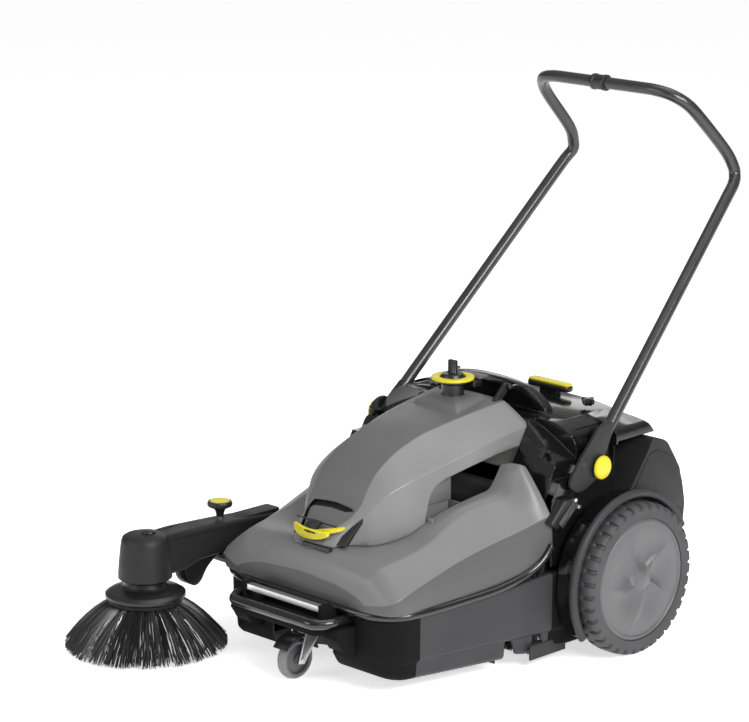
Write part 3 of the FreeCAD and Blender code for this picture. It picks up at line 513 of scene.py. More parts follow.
def tube(name, points, radius, material, sides=16):
    """A round tube through points, with flat ends."""
    vertices = []
    path = [Vector(p) for p in points]
    up = Vector((0, 0, 1))
    side = None
    for i, here in enumerate(path):
        ahead = path[min(i + 1, len(path) - 1)] - path[max(i - 1, 0)]
        ahead.normalize()
        if side is None:
            side = ahead.cross(up if abs(ahead.z) < 0.9 else Vector((1, 0, 0))).normalized()
        side = (side - ahead * side.dot(ahead)).normalized()
        other = ahead.cross(side)
        r = radius[i] if isinstance(radius, list) else radius
        for k in range(sides):
            turn = math.tau * k / sides
            vertices.append(here + side * r * math.cos(turn) + other * r * math.sin(turn))
    return mesh_object(name, vertices, bands(len(path), sides, capped=True), material)


# ---------------------------------------------------------------- covers

# Cross-sections of the covers: at each y, half an outline as (x, z) from its lowest point to its top.
BONNET = [
    (-553, [(168, 166), (174, 180), (130, 198), (60, 206)]),
    (-541, [(216, 166), (221, 188), (166, 224), (70, 234)]),
    (-524, [(233, 166), (236, 197), (176, 240), (75, 250)]),
    (-500, [(238, 166), (238, 205), (182, 248), (80, 256)]),
    (-450, [(243, 167), (239, 219), (185, 257), (88, 255)]),
    (-400, [(249, 169), (241, 234), (186, 269), (100, 263)]),
    (-363, [(255, 172), (245, 245), (184, 282), (126, 284)]),
    (-300, [(266, 178), (255, 261), (182, 306), (148, 311)]),
    (-240, [(276, 188), (267, 275), (198, 318), (160, 326)]),
    (-212, [(280, 197), (272, 282), (209, 327), (165, 332)]),
    (-194, [(282, 206), (275, 286), (213, 348), (165, 352)]),
    (-178, [(284, 216), (278, 290), (212, 381), (165, 373)]),
    (-163, [(286, 235), (281, 294), (214, 379), (165, 373)]),
]
COVER = [
    (-537, [(40, 226), (36, 236), (22, 239)]), (-529, [(46, 228), (44, 246), (28, 250)]),
    (-520, [(50, 232), (48, 258), (34, 264)]), (-508, [(57, 234), (54, 274), (38, 282)]),
    (-492, [(64, 236), (60, 287), (46, 295)]), (-480, [(70, 238), (64, 295), (56, 304)]),
    (-468, [(81, 240), (72, 303), (63, 316)]), (-454, [(93, 242), (84, 319), (67, 333)]),
    (-440, [(103, 243), (92, 332), (67, 355)]), (-425, [(111, 245), (100, 346), (67, 376)]),
    (-404, [(121, 252), (109, 358), (67, 393)]), (-375, [(135, 264), (117, 370), (67, 410)]),
    (-340, [(141, 280), (122, 379), (67, 424)]), (-290, [(146, 296), (130, 391), (69, 439)]),
    (-215, [(150, 320), (145, 411), (75, 452)]), (-140, [(152, 340), (150, 424), (82, 463)]),
    (-85, [(152, 350), (151, 432), (86, 469)]),
]


def grown(stations, by, floor=None):
    """Cross-sections drawn outwards, or inwards when the distance is negative."""
    result = []
    for y, half in stations:
        wider = [(x + by, z + by) for x, z in half]
        if floor is not None:
            wider[0] = (wider[0][0], floor)
        result.append((y - by if y == stations[0][0] else y, wider))
    return result


def mirrored(outline):
    """An outline with its mirror image added, so that it is closed across the middle plane."""
    return outline + [(-corner[0], *corner[1:]) for corner in reversed(outline)]


def front_bonnet():
    # The flank under the hip crest takes the darkened grey as painted shade. The rest of the bonnet takes the
    # plain grey.
    shell = skin("front_bonnet_skin", BONNET, GREY, [3, 7, 5], shades=[GREY_FLANK_SHADED, GREY, GREY, GREY])
    shelled(shell, 4)
    rim = [(54, -478, 30), (88, -440), (106, -404), (128, -363), (149, -300), (161, -240), (165, -212),
           (165, -150, 2)]
    hatch = prism("hatch", rounded(mirrored(rim), 40, 4), 120, 420, GREY, axis="z")
    carve(shell, hatch)
    rides(bevelled(shell, 1.2, 2, 50), "frame", "front_bonnet", slot="grey_cover")


def walls():
    """Inner walls of the bonnet beside the motor room."""
    for side, name in SIDES:
        low = block("wall", span(side, 108, 111), (-350, -262), (254, 312), GREY)
        high = block("ledge", span(side, 108, 114), (-350, -262), (312, 362), GREY)
        front = block("tie", span(side, 108, 149), (-350, -345), (254, 298), GREY)
        rear = block("tie", span(side, 108, 162), (-267, -262), (254, 312), GREY)
        wall = bevelled(joined(low, high, front, rear), 1.5, 2)
        wall.name = f"bonnet_inner_wall_{name}"
        rides(wall, "frame", "front_bonnet", slot="grey_cover")


def upper_cover():
    # The cover's sides take the lightened grey as painted light, and its top panel takes the darkened grey as
    # painted shade.
    shell = skin("upper_cover_skin", COVER, GREY, [2.5, 3.5], shades=[GREY_SIDE_LIT, GREY_SIDE_LIT, GREY_PANEL_SHADED])
    shelled(shell, 4)
    seat = skin("seat", grown(BONNET, 1.2, floor=140), GREY, [3, 7, 5], closed=True)
    window = [(-362, 150), (-358, 287, 20), (-337, 342, 26), (-312, 360, 20), (-246, 377, 30),
              (-185, 390, 30), (-40, 404), (-40, 150)]
    opening = prism("window", rounded(window, 8, 6), -260, 260, GREY)
    outline = [(-41, -514), (-61, -474), (-54, -461), (0, -459), (45, -461), (59, -466), (40, -471),
               (0, -471), (-42, -473), (-49, -477), (-31, -514)]
    # The walls that this cut leaves take the darkened grey as painted shade.
    scoop = prism("gap", rounded(outline, 3, 3), 272, 400, GREY_PANEL_SHADED, axis="z")
    carve(shell, opening, scoop, seat, careful=True)
    rides(bevelled(shell, 1.2, 2, 50), "cover", "upper_cover", slot="grey_cover")
    lining = [(-510, 262), (-499, 276), (-484, 288), (-470, 300), (-456, 314), (-445, 330), (-440, 326),
              (-452, 308), (-480, 282), (-500, 262)]
    rides(bevelled(prism("gap_lining", lining, -62, 78, MATT), 1), "cover", "upper_cover", slot="black_part")
    pin = tube("latch_pin", [(-54, -508, 296), (54, -508, 296)], 1.5, BLACK)
    rides(pin, "cover", "upper_cover", slot="zinc")
    slot = bevelled(block("latch_slot", (-16, 56), (-531, -520), (251, 259), BLACK), 1)
    rides(slot, "cover", "upper_cover", slot="black_part")
    lug = [(-108, 462), (-96, 474), (-70, 498), (-60, 498), (-58, 490), (-62, 485), (-88, 460)]
    for x, name in ((-76, "right"), (68, "left")):
        plate = bevelled(prism(f"hinge_lug_{name}", rounded(lug, 4, 3), x, x + 8, MATT), 1)
        rides(plate, "cover", "upper_cover", slot="grey_cover")


front_bonnet()
walls()
upper_cover()


# ---------------------------------------------------------------- chassis

TUB = [
    (-546, [(148, 66), (163, 82), (164, 157)]), (-531, [(190, 42), (206, 58), (208, 156)]),
    (-503, [(219, 32), (233, 50), (234, 156)]), (-452, [(232, 30), (242, 50), (243, 158)]),
    (-292, [(262, 28), (269, 48), (271, 169)]), (-212, [(277, 28), (283, 46), (284, 178)]),
    (-150, [(288, 28), (294, 46), (295, 184)]), (-34, [(292, 28), (298, 46), (299, 186)]),
]


def skirted(stations):
    """The tub's cross-sections with a recessed skirt under the side faces."""
    result = []
    for y, ((low_x, low_z), (side_x, _), (top_x, top_z)) in stations:
        step = max(64, low_z + 8)
        skirt = [(low_x - 10, low_z), (side_x - 11, low_z + 6), (side_x - 9, step)]
        result.append((y, [*skirt, (side_x, step + 7), (top_x, top_z)]))
    return result


def chassis_tub():
    body = skin("chassis_tub_skin", skirted(TUB), CHARCOAL, [10, 2, 5, 5], steps=4, crown=0, bow=0,
                closed=True)
    body.data.materials.append(SHADE_BLACK)
    front, back = point(0, -464, 0).y, point(0, -168, 0).y
    for face in body.data.polygons:  # painted shade: the nose and the part between the wheels are drawn in the dull near-black
        if face.center.y < front or face.center.y > back:
            face.material_index = 1
    rear = block("rear", (-299, 299), (-40, 165), (44, 190), CHARCOAL)
    boolean(body, "UNION", bevelled(rear, 5))
    bay = [(y + 6, [(half[0][0] - 8, 66), (half[2][0] - 8, 66), (half[2][0] - 8, 230)]) for y, half in TUB
           if y < -280]
    tools = [
        block("bay", (-289, 289), (22, 190), (20, 210), CHARCOAL),
        skin("battery_bay", bay, CHARCOAL, [2, 2], steps=1, crown=0, bow=0, closed=True),
        block("brush_bay", (-266, 266), (-270, -30), (10, 260), CHARCOAL),
        block("belt_bay", (265, 279), (-206, -96), (46, 260), CHARCOAL),
        block("throw_slot", (-256, 256), (-41, 23), (62, 132), CHARCOAL),
        turned("well", [(0, 10), (84, 10), (84, 90), (0, 90)], (0, -530, 0), "z", CHARCOAL),
    ]
    carve(body, *tools)
    rides(bevelled(body, 1.0, 2, 50), "frame", "chassis_tub", slot="charcoal")
    plate = block("battery_floor", (-120, 120), (-440, -300), (60, 66), CHARCOAL)
    rides(bevelled(plate, 1), "frame", "chassis_tub", slot="charcoal")


def bumper():
    """Glossy band between the tub and the bonnet, from one rear wheel round the nose to the other."""
    side = [(110, -553, 160), (150, -551, 160), (184, -543, 160), (212, -528, 160), (229, -504, 160),
            (238, -470, 161), (244, -430, 162), (255, -363, 167), (268, -300, 174), (276, -240, 186),
            (281, -205, 200), (284, -182, 216), (286, -166, 236)]
    path = smooth_path(side, 4)
    full = [(-x, y, z) for x, y, z in reversed(path)] + path
    band = tube("bumper_band", full, 8.5, GLOSS, sides=14)
    rides(band, "frame", "chassis_tub", slot="black_gloss")


def smooth_path(points, steps):
    """More points on a smooth curve through the given ones."""
    columns = [[p[axis] for p in points] for axis in range(3)]
    count = (len(points) - 1) * steps
    return [tuple(catmull(column, n / steps) for column in columns) for n in range(count + 1)]


def rear_housing():
    outer = [(-160, 190, 1), (-160, 316), (-130, 372), (-100, 420), (-80, DECK_HEIGHT), (92, DECK_HEIGHT, 22),
             (124, 422, 16), (138, 402, 3), (30, 402, 2), (30, 190, 1)]
    inner = [(-156, 180), (-156, 315), (-126, 370), (-108, 396), (26, 396), (26, 180)]
    shell = prism("rear_housing_shell", rounded(outer, 12, 5), -HOUSING_HALF, HOUSING_HALF, GLOSS)
    bevelled(shell, 7, 4, 50)
    cover_room = grown([station for station in COVER if station[0] > -230], 2, floor=150)
    cover_room[-1] = (-82.5, cover_room[-1][1])
    tools = [
        prism("room", [*inner[:2], (-150, 326), (26, 326), (26, 180)], -269, 269, GLOSS),
        prism("high_room", inner, -215, 215, GLOSS),
        turned("tunnel_room", [(0, -264), (119, -264), (119, 264), (0, 264)], (0, -150, 108), "x", GLOSS),
        block("belt_room", (260, 278), (-210, -90), (180, 330), GLOSS),
        block("lid_hole", (-200, 200), (-40, 96), (390, DECK_HEIGHT + 4), GLOSS),
        skin("cover_room", cover_room, GLOSS, [16, 9], closed=True),
    ]
    # The walls of the side recesses take the dull near-black of the cutters, as painted shade.
    pocket = rounded([(-104, 300), (-60, 396), (50, 396), (50, 236), (-70, 250)], 8, 3)
    tools += [prism("side_recess", pocket, x, x + 8, SHADE_BLACK) for x in (272.5, -280.5)]
    deep, shallow = [(257, 352, 3), (300, 352), (300, 460)], [(281, 396), (300, 396), (300, 460)]
    corners = [
        (-170, -66, [(150, 460), (150, 437), (200, 415, 30), (257, 382, 8), *deep]),
        (-67, 26, [(196, 460), (196, 444.6), (236, 434, 20), (257, 406, 8), *deep]),
        (25, 160, [(196, 460), (196, 444.6), (240, 438, 20), (276, 424, 8), *shallow]),
    ]
    for front, back, corner in corners:
        for side, _ in SIDES:
            camber = rounded([(side * x, *rest) for x, *rest in corner], 1, 5)
            tools.append(prism("camber", camber, front, back, GLOSS, axis="y"))
    carve(shell, *tools)
    rides(bevelled(shell, 1, 2, 60), "frame", "rear_housing", slot="black_gloss")
    for side, name in SIDES:
        boss = turned(f"pivot_boss_{name}", [(0, 250), (20, 250), (18, 262), (0, 262)],
                      (0, *HANDLE_PIVOT), away(side), MATT, 40)
        rides(boss, "frame", "rear_housing", slot="black_gloss")


def filter_lid():
    """Cambered deck lid with its raised arched hump and the pegs of the cover hinge."""
    top = [(-236, 433), (-200, 444, 30), (-120, 451, 60), (120, 451, 60), (200, 444, 30), (236, 433)]
    under = [(x, z - 6, *rest) for x, z, *rest in reversed(top)]
    plate = bevelled(prism("deck_lid", rounded(top + under, 1, 5), -44, 102, GLOSS, axis="y"), 2, 3, 50)
    hump_top = mirrored([(158, 444), (153, 460, 20), (126, 480, 30), (94, 492, 30), (40, 499, 30)])
    hump = bevelled(prism("hump", rounded(hump_top, 1, 6), -42, -22, GLOSS, axis="y"), 3, 3, 50)
    inner = mirrored([(138, 448), (133, 458, 20), (112, 472, 30), (84, 481, 30), (36, 486, 30)])
    # The walls of the hollow take the dull near-black of the cutter, as painted shade.
    carve(hump, bevelled(prism("hollow", rounded(inner, 1, 6), -60, -32, SHADE_BLACK, axis="y"), 2))
    hinge = (0, *COVER_HINGE)
    pegs = [turned("peg", [(0, x), (3, x), (3, x + 12), (0, x + 12)], hinge, "x", ZINC, 24)
            for x in (68, -80)]
    eyes = [turned("eye", [(3.1, x), (6, x), (6, x + 6), (3.1, x + 6), (3.1, x)], hinge, "x", GLOSS, 32)
            for x in (77, -83)]
    ears = [block("ear", (x, x + 6), (-59, -41), (487, 493), GLOSS) for x in (77, -83)]
    rides(joined(plate, hump, *pegs, *eyes, *ears), "frame", "filter_lid", slot="black_gloss")


def guides():
    """Ribbed slides low on both sides of the housing, each with two bolts above it."""
    outline = [(-112, 322), (-100, 306), (-160, 268), (-180, 282), (-140, 322)]
    run = Vector((0, -50, -44)).normalized()
    across = Vector((0, -0.66, 0.75))
    for side, name in SIDES:
        low, high = span(side, 279, 297)
        body = bevelled(prism(f"housing_slide_{name}", rounded(outline, 4, 3), low, high, BLACK), 2)
        ribs = []
        for n in range(4):
            start = Vector((side * 297, -106, 309)) + across * (n * 4.2 - 2)
            end = start + run * 58
            ribs.append(tube("rib", [start, end], 1.5, BLACK, sides=8))
        rides(joined(body, *ribs), "frame", "rear_housing", slot="black_part")
        dome = [(0, 4), (2.5, 3.7), (4.3, 2.4), (5, 0), (5, -8), (0, -8)]
        bolts = [turned("bolt", dome, (side * 298, y, z), away(side), ZINC, 24)
                 for y, z in ((-112, 317), (-103, 302))]
        bolts = joined(*bolts)
        bolts.name = f"housing_bolts_{name}"
        rides(bolts, "frame", "handle_pivot_bolts", slot="zinc")


def waste_container():
    side = [(34, 48), (34, 286, 6), (104, 374, 5), (116, 390), (154, 376), (190, 328), (206, 292), (215, 246),
            (206, 150), (186, 64), (174, 48)]
    top = [(34, 195, 1), (34, 286, 6), (104, 378, 5), (114, 399), (156, 384), (192, 330), (206, 292),
           (215, 246), (209, 195, 1)]
    room = [(28, 132.5), (28, 62), (38, 52), (172, 52), (182, 66), (202, 150), (210, 246), (202, 290),
            (187, 325), (150, 369), (117, 384), (107, 371), (38, 284), (38, 132.5)]
    low = bevelled(prism("bin_low", rounded(side, 14, 5), -285, 285, MATT), 8, 4, 50)
    high = bevelled(prism("bin_high", rounded(top, 14, 5), -297, 297, MATT), 9, 4, 50)
    bin_shape = boolean(low, "UNION", high)
    bin_shape.name = "waste_bin"
    tools = [
        prism("room", rounded(room, 6, 3), -281, 281, MATT),
        block("throat", (-250, 250), (20, 60), (66, 128), MATT),
        block("mouth", (-200, 200), (90, 140), (366, 400), MATT),
        bevelled(block("grip", (-70, 70), (196, 240), (206, 236), MATT), 6),
    ]
    carve(bin_shape, *tools)
    rides(bevelled(bin_shape, 1.2, 2, 55), "container", "waste_container", slot="charcoal")
    cup = block("bin_grip_cup", (-72, 72), (190, 196), (200, 242), MATT)
    rides(bevelled(cup, 1.5), "container", "waste_container", slot="charcoal")
    panel = [(60, 302), (104, 366, 6), (126, 372, 10), (176, 348), (196, 322), (203, 262), (203, 236),
             (150, 262), (100, 276)]
    for sign, name in SIDES:
        low, high = span(sign, 296, 299)
        plate = bevelled(prism(f"bin_side_panel_{name}", rounded(panel, 8, 4), low, high, MATT), 2)
        rides(plate, "container", "waste_container", slot="charcoal")


def wheel_arch(side, node):
    """Fender: a curved sheet over the wheel that ends in a thick rounded lip."""
    inner, outer = side_limits(node)
    outline = [(inner, 158.6), (outer - 9, 159.4), (outer - 4, 157.4), (outer - 1.2, 158.6), (outer, 162),
               (outer, 167), (outer - 1.4, 171), (outer - 5, 173.4), (outer - 10, 173.2), (outer - 15, 170),
               (outer - 19, 166), (inner, 164)]
    vertices = []
    count, steps = len(outline), 90
    for k in range(steps + 1):
        turn = math.radians(26 + (214 - 26) * k / steps)
        for x, r in outline:
            vertices.append((side * x, r * math.cos(turn), AXLE_HEIGHT + r * math.sin(turn)))
    faces = bands(steps + 1, count, capped=True)
    tones = [1 if 1 <= i < count - 2 else 0 for _ in range(steps) for i in range(count)] + [0, 0]
    piece = mesh_object(f"fender_{node}", vertices, faces, [GLOSS, CHARCOAL], angle=50, tones=tones)
    rides(piece, "frame", node, slot="black_gloss")


chassis_tub()
bumper()
rear_housing()
filter_lid()
guides()
waste_container()
for arch_side, arch_name in SIDES:
    wheel_arch(arch_side, f"wheel_arch_{arch_name}")


# ---------------------------------------------------------------- side brush arm


def arm_shell():
    """Arm with a round motor pot, a raised top with a recessed channel, and a boss over the motor."""
    x, y = ARM_X, BRUSH_Y
    pot_outline = [(0, 140), (50, 138), (52.5, 140), (52.4, 150), (50, 176), (47, 203), (45.4, 214),
                   (42.5, 221), (37, 224.5), (0, 226)]
    pot = turned("arm_cover", pot_outline, (x, y, 0), "z", MATT, 96)
    beam_side = [(-665, 152), (-665, 219), (-560, 221), (-460, 216), (-322, 207), (-286, 203), (-282, 176),
                 (-300, 166), (-440, 154), (-520, 152), (-560, 140), (-640, 140)]
    beam = bevelled(prism("beam", rounded(beam_side, 8, 4), x - 28, x + 28, MATT), 7, 4, 50)
    pot_room = [(0, 100), (46.5, 100), (44, 196), (41, 216), (0, 219)]
    beam_room = [(-600, 100), (-600, 214), (-560, 214), (-460, 207), (-322, 198), (-292, 194), (-292, 150),
                 (-300, 100)]
    channel = [(x - 14, -600), (x - 14, -470, 8), (x + 14, -470, 8), (x + 14, -600)]
    bore = [(0, -60), (7.1, -60), (7.1, 60), (0, 60)]
    screw = [(0, 120), (6.2, 120), (6.2, 260), (0, 260)]
    boolean(pot, "UNION", beam, careful=True)
    carve(
        pot,
        turned("pot_room", pot_room, (x, y, 0), "z", MATT),
        prism("beam_room", beam_room, x - 22, x + 22, MATT),
        prism("channel", rounded(channel, 10, 4), 219.5, 250, MATT, axis="z"),
        turned("bore", bore, (x, -300, 190), "x", MATT, 32),
        turned("screw_hole", screw, (x, SCREW_Y, 0), "z", MATT, 32),
        careful=True,
    )
    rides(bevelled(pot, 1.2, 2, 50), "arm", "arm_shell", slot="black_part")
    dome = [(0, 232), (9, 231.6), (13, 230), (14.5, 226), (14.5, 220), (0, 220)]
    boss = turned("arm_boss", dome, (x, y + 10, 0), "z", BLACK, 40)
    rides(boss, "arm", "arm_shell", slot="black_part")
    hook = rounded([(-560, 156), (-552, 116), (-534, 99), (-516, 104), (-498, 132), (-462, 158)], 12, 5)
    rides(bevelled(prism("arm_skirt", hook, x - 12, x + 20, BLACK), 3), "arm", "arm_shell", slot="black_part")
    shelf = rounded([(x - 20, -420), (x - 20, -300), (x + 20, -300), (x + 20, -420)], 8, 4)
    ledge = prism("ledge", shelf, 205, 213, MATT, axis="z")
    rides(bevelled(ledge, 2), "arm", "arm_shell", slot="black_part")


def arm_knob():
    """Round grip with a knurled edge over a tapered neck, on the height screw."""
    x, y = ARM_X, SCREW_Y
    vertices = []
    outline = [(0, 238), (9, 238), (20, 240), (24, 242), (25, 245), (25, 249), (23, 252), (20, 252.4),
               (20, 250), (0, 250)]
    steps = 120
    for k in range(steps):
        turn = math.tau * k / steps
        for r, z in outline:
            reach = r - (0.9 if r > 23.5 and k % 4 < 2 else 0)
            vertices.append((x + reach * math.cos(turn), y + reach * math.sin(turn), z))
    faces = bands(steps, len(outline), closed=False, wrapped=True)
    grip = mesh_object("height_grip", vertices, faces, BLACK, angle=30)
    taper = [(0, 221), (7.5, 221), (8, 226), (10, 233), (14, 238), (0, 238)]
    neck = turned("neck", taper, (x, y, 0), "z", BLACK, 40)
    shank = [(0, 142.3), (5, 142.3), (6, 144), (6, 226), (0, 226)]
    screw = turned("screw", shank, (x, y, 0), "z", ZINC, 32)
    rides(joined(grip, neck, screw), "height_screw", "arm_knob", slot="black_part")


arm_shell()
arm_knob()


# ---------------------------------------------------------------- handle feet


def handle_foot(side, name):
    """Slim plate with a flared socket round the end of the tube. The right one is shorter."""
    outline = [(-50, 444), (-64, 427, 20), (-100, 391, 30), (-124, 360), (-127, 346), (-112, 330), (-86, 330),
               (-47, 348), (-28, 388, 20), (-8, 430, 20), (-2, 450), (-24, 456)]
    if side < 0:
        outline = [(-72, 350, 20), (-72, 390, 20), (-52, 402, 16), (-30, 402, 12), (-20, 386, 20),
                   (-24, 350, 20), (-47, 338, 20)]
    low, high = span(side, 289, 298)
    plate = bevelled(prism(f"handle_foot_{name}", rounded(outline, 10, 5), low, high, MATT), 2.5, 3, 50)
    path = [(side * 278, -52, 370), (side * 276, -34, 388), (side * 274, -16, 406), (side * 272, 2, 424)]
    flare = tube("flare", path, [13.4, 14, 13.6, 12.5], BLACK, sides=24)
    hole = [(0, -30), (7.1, -30), (7.1, 30), (0, 30)]
    bore = turned("bore", hole, (side * 294, *HANDLE_PIVOT), "x", MATT, 32)
    rides(joined(carve(plate, bore), flare), "handle", f"handle_bracket_{name}", slot="black_part")


def foot_edge():
    """Raised front edge and small boss on the outside of the left foot."""
    edge = [(-51, 443), (-65, 427, 20), (-101, 391, 30), (-125, 359), (-121, 352), (-98, 384, 30),
            (-58, 423, 20), (-43, 440)]
    rib = bevelled(prism("foot_edge", rounded(edge, 4, 4), 293, 298.8, MATT), 1.8, 3, 50)
    dome = [(0, 6.5), (5, 6.3), (8, 5), (9, 2), (9, -4), (0, -4)]
    boss = turned("boss", dome, (292.2, -88, 384), "x", BLACK, 32)
    rides(joined(rib, boss), "handle", "handle_bracket_left", slot="black_part")


def clamp_knob(side, name):
    """Round clamping knob with a slightly domed face and a black rim behind it."""
    node = f"clamp_knob_{name}"
    centre = (side * side_limits(node)[0], *HANDLE_PIVOT)
    face = [(0, 10.4), (10, 10.2), (18, 9.4), (21.5, 7.8), (23, 5.4), (23.2, 3), (19, 0.4), (0, 0.3)]
    back = [(0, 0.2), (20, 0.2), (22.4, 1.2), (22.4, 2.6), (0, 2.6)]
    for shape, outline, material in (("disc", face, YELLOW), ("rim", back, BLACK)):
        piece = turned(f"clamp_{shape}_{name}", outline, centre, away(side), material, 72)
        rides(piece, f"clamp_{name}", node, slot="yellow")


for foot_side, foot_name in SIDES:
    handle_foot(foot_side, foot_name)
    clamp_knob(foot_side, foot_name)
foot_edge()


# ---------------------------------------------------------------- controls


def cover_latch():
    """Curved yellow pull with a raised tail, on a web that goes back to its pin."""
    outline = [(-48, 275), (-48, 289), (-28, 289, 20), (0, 287, 20), (28, 288, 20), (46, 286), (46, 277),
               (28, 270, 20), (0, 267, 20), (-30, 269, 20)]
    shape = prism("latch_pull", rounded(outline, 6, 4), -534, -527, YELLOW, axis="y")
    bevelled(shape, 2, 3, 50)
    tail = [(16, 287), (44, 293, 10), (68, 298), (68, 290), (44, 283, 10), (26, 277)]
    wing = bevelled(prism("tail", rounded(tail, 3, 3), -530, -522, YELLOW, axis="y"), 1.6, 3, 50)
    for part in (shape, wing):
        for vertex in part.data.vertices:
            x = (TO_MACHINE @ vertex.co).x
            vertex.co.y += 0.000005 * x * x
    web = [(-528, 280), (-520, 296), (-509, 299.5), (-505, 297), (-505, 293), (-512, 291), (-524, 275)]
    back = bevelled(prism("web", web, -14, 14, MATT), 0.8)
    rides(joined(shape, wing, back), "latch", "cover_latch", slot="yellow")


def shaker():
    """T-shaped pull with rounded ends and a yellow cap, on a short neck."""
    x, y = 54, 84
    bar = rounded([(x - 54, y - 13), (x + 54, y - 13), (x + 54, y + 13), (x - 54, y + 13)], 12, 6)
    grip = bevelled(prism("shaker_grip", bar, 459, 470, BLACK, axis="z"), 3, 3, 50)
    neck = rounded([(x - 24, y - 9), (x + 24, y - 9), (x + 24, y + 9), (x - 24, y + 9)], 7, 5)
    stalk = prism("neck", neck, 451.6, 461, BLACK, axis="z")
    rod = [(0, 408), (14, 408), (14, 413), (5, 413), (5, 452), (0, 452)]
    stem = turned("stem", rod, (x, y, 0), "z", BLACK, 32)
    rides(joined(grip, stalk, stem), "shaker", "shaker_handle", slot="black_part")
    top = rounded([(x - 52, y - 11.5), (x + 52, y - 11.5), (x + 52, y + 11.5), (x - 52, y + 11.5)], 11, 6)
    cap = bevelled(prism("shaker_top", top, 469.6, 474.4, YELLOW, axis="z"), 1.6, 3, 50)
    rides(cap, "shaker", "shaker_cap", slot="yellow")


def push_handle():
    """Bent tube from one foot over the top bar to the other, with a short sleeve in the middle."""
    side = [(277.5, -50, 372), (272.7, -7, 414), (268.7, 28, 449), (264, 70, 490), (228, 394, 807),
            (222.5, 434, 846), (216, 446, 862), (213, 444, 880), (207, 424, 914), (200, 352, 986),
            (190, 322, 1016), (168, 300, 1034), (136, 291, 1041), (100, *BAR), (0, *BAR)]
    path = smooth_path(side, 5)
    for sign, name in SIDES:
        half = tube(f"handle_run_{name}", [(sign * x, y, z) for x, y, z in path], 12, TUBE, sides=28)
        rides(half, "handle", f"handle_tube_{name}", slot="tube")
    cover = [(0, -18), (15.6, -18), (16.4, -16.5), (16.4, -11), (15.2, -10), (15.2, 10), (16.4, 11),
             (16.4, 16.5), (15.6, 18), (0, 18)]
    sleeve = turned("bar_sleeve", cover, (-7, *BAR), "x", BLACK, 48)
    rides(sleeve, "handle", "handle_sleeve", slot="black_part")


cover_latch()
shaker()
push_handle()


# ---------------------------------------------------------------- brushes


def side_brush():
    """Tufts of separate bristles, set in a ring of holes and flared outwards, with uneven tips."""
    chance = random.Random(5)
    centre = middle_of("brush_bristles")
    vertices, faces, tones = [], [], []
    tufts, bristles, steps, sides = 46, 36, 5, 3
    root, widest = 93, 158
    for tuft in range(tufts):
        turn = math.tau * tuft / tufts
        splay = chance.uniform(0.93, 1.06)
        ring = 56 if tuft % 2 else 64
        for _ in range(bristles):
            around = turn + chance.gauss(0, 0.037)
            reach = min(widest, (149 if tuft % 2 else 156) * splay + chance.gauss(0, 5))
            drop = 4 + abs(chance.gauss(0, 5)) + (160 - reach) * 0.15
            swing = chance.gauss(0, 0.05)
            start = ring + chance.gauss(0, 1.6)
            first = len(vertices)
            for k in range(steps + 1):
                t = k / steps
                r = start + (reach - start) * (t ** 0.86)
                z = root - (root - drop) * (0.72 * t + 0.28 * t * t)
                angle = around + swing * t + chance.gauss(0, 0.002)
                thick = 1.15 * (1 - 0.35 * t)
                for s in range(sides):
                    roll = math.tau * s / sides
                    radial = r + thick * math.cos(roll) * 0.7
                    x = centre.x + radial * math.cos(angle) - thick * math.sin(roll) * math.sin(angle)
                    y = centre.y + radial * math.sin(angle) + thick * math.sin(roll) * math.cos(angle)
                    vertices.append((x, y, max(1.0, z + thick * math.cos(roll) * 0.7)))
            tone = 1 if chance.random() < 0.13 else 0
            faces += bands(steps + 1, sides, first)
            faces.append(tuple(range(first + steps * sides, first + (steps + 1) * sides)))
            tones += [tone] * (steps * sides + 1)
    piece = mesh_object("side_brush_tufts", vertices, faces, [BRISTLE, BRISTLE_PALE], angle=80,
                        outwards=False, tones=tones)
    rides(piece, "side_brush", "brush_bristles", slot="bristles")


def roller_tufts():
    """Tufts of the roller brush, in rows that wind from both ends to the middle."""
    chance = random.Random(8)
    centre = middle_of("roller_bristles")
    vertices, faces = [], []
    for row in range(10):
        for place in range(66):
            x = -232 + place * 7.13
            turn = math.tau * row / 10 + abs(x) * 0.006
            for _ in range(5):
                angle = turn + chance.gauss(0, 0.05)
                lean = chance.gauss(0, 0.03)
                first = len(vertices)
                for r, thick in ((44, 3.2), (75, 2.6), (103 + chance.uniform(-3, 1.5), 1.4)):
                    for s in range(3):
                        roll = math.tau * s / 3
                        side = thick * math.cos(roll) + chance.gauss(0, 0.5)
                        out = angle + lean * (r - 44) / 60 + thick * math.sin(roll) / r
                        y, z = centre.y + r * math.cos(out), centre.z + r * math.sin(out)
                        vertices.append((x + side, y, z))
                faces += bands(3, 3, first)
                faces.append((first + 6, first + 7, first + 8))
    piece = mesh_object("roller_tufts", vertices, faces, BRISTLE, angle=80, outwards=False)
    rides(piece, "roller", "roller_bristles", slot="bristles")


side_brush()
roller_tufts()


# ---------------------------------------------------------------- wheels


def soft_step(low, high, value):
    """Rises smoothly from 0 to 1 between two values."""
    t = min(1.0, max(0.0, (value - low) / (high - low)))
    return t * t * (3 - 2 * t)


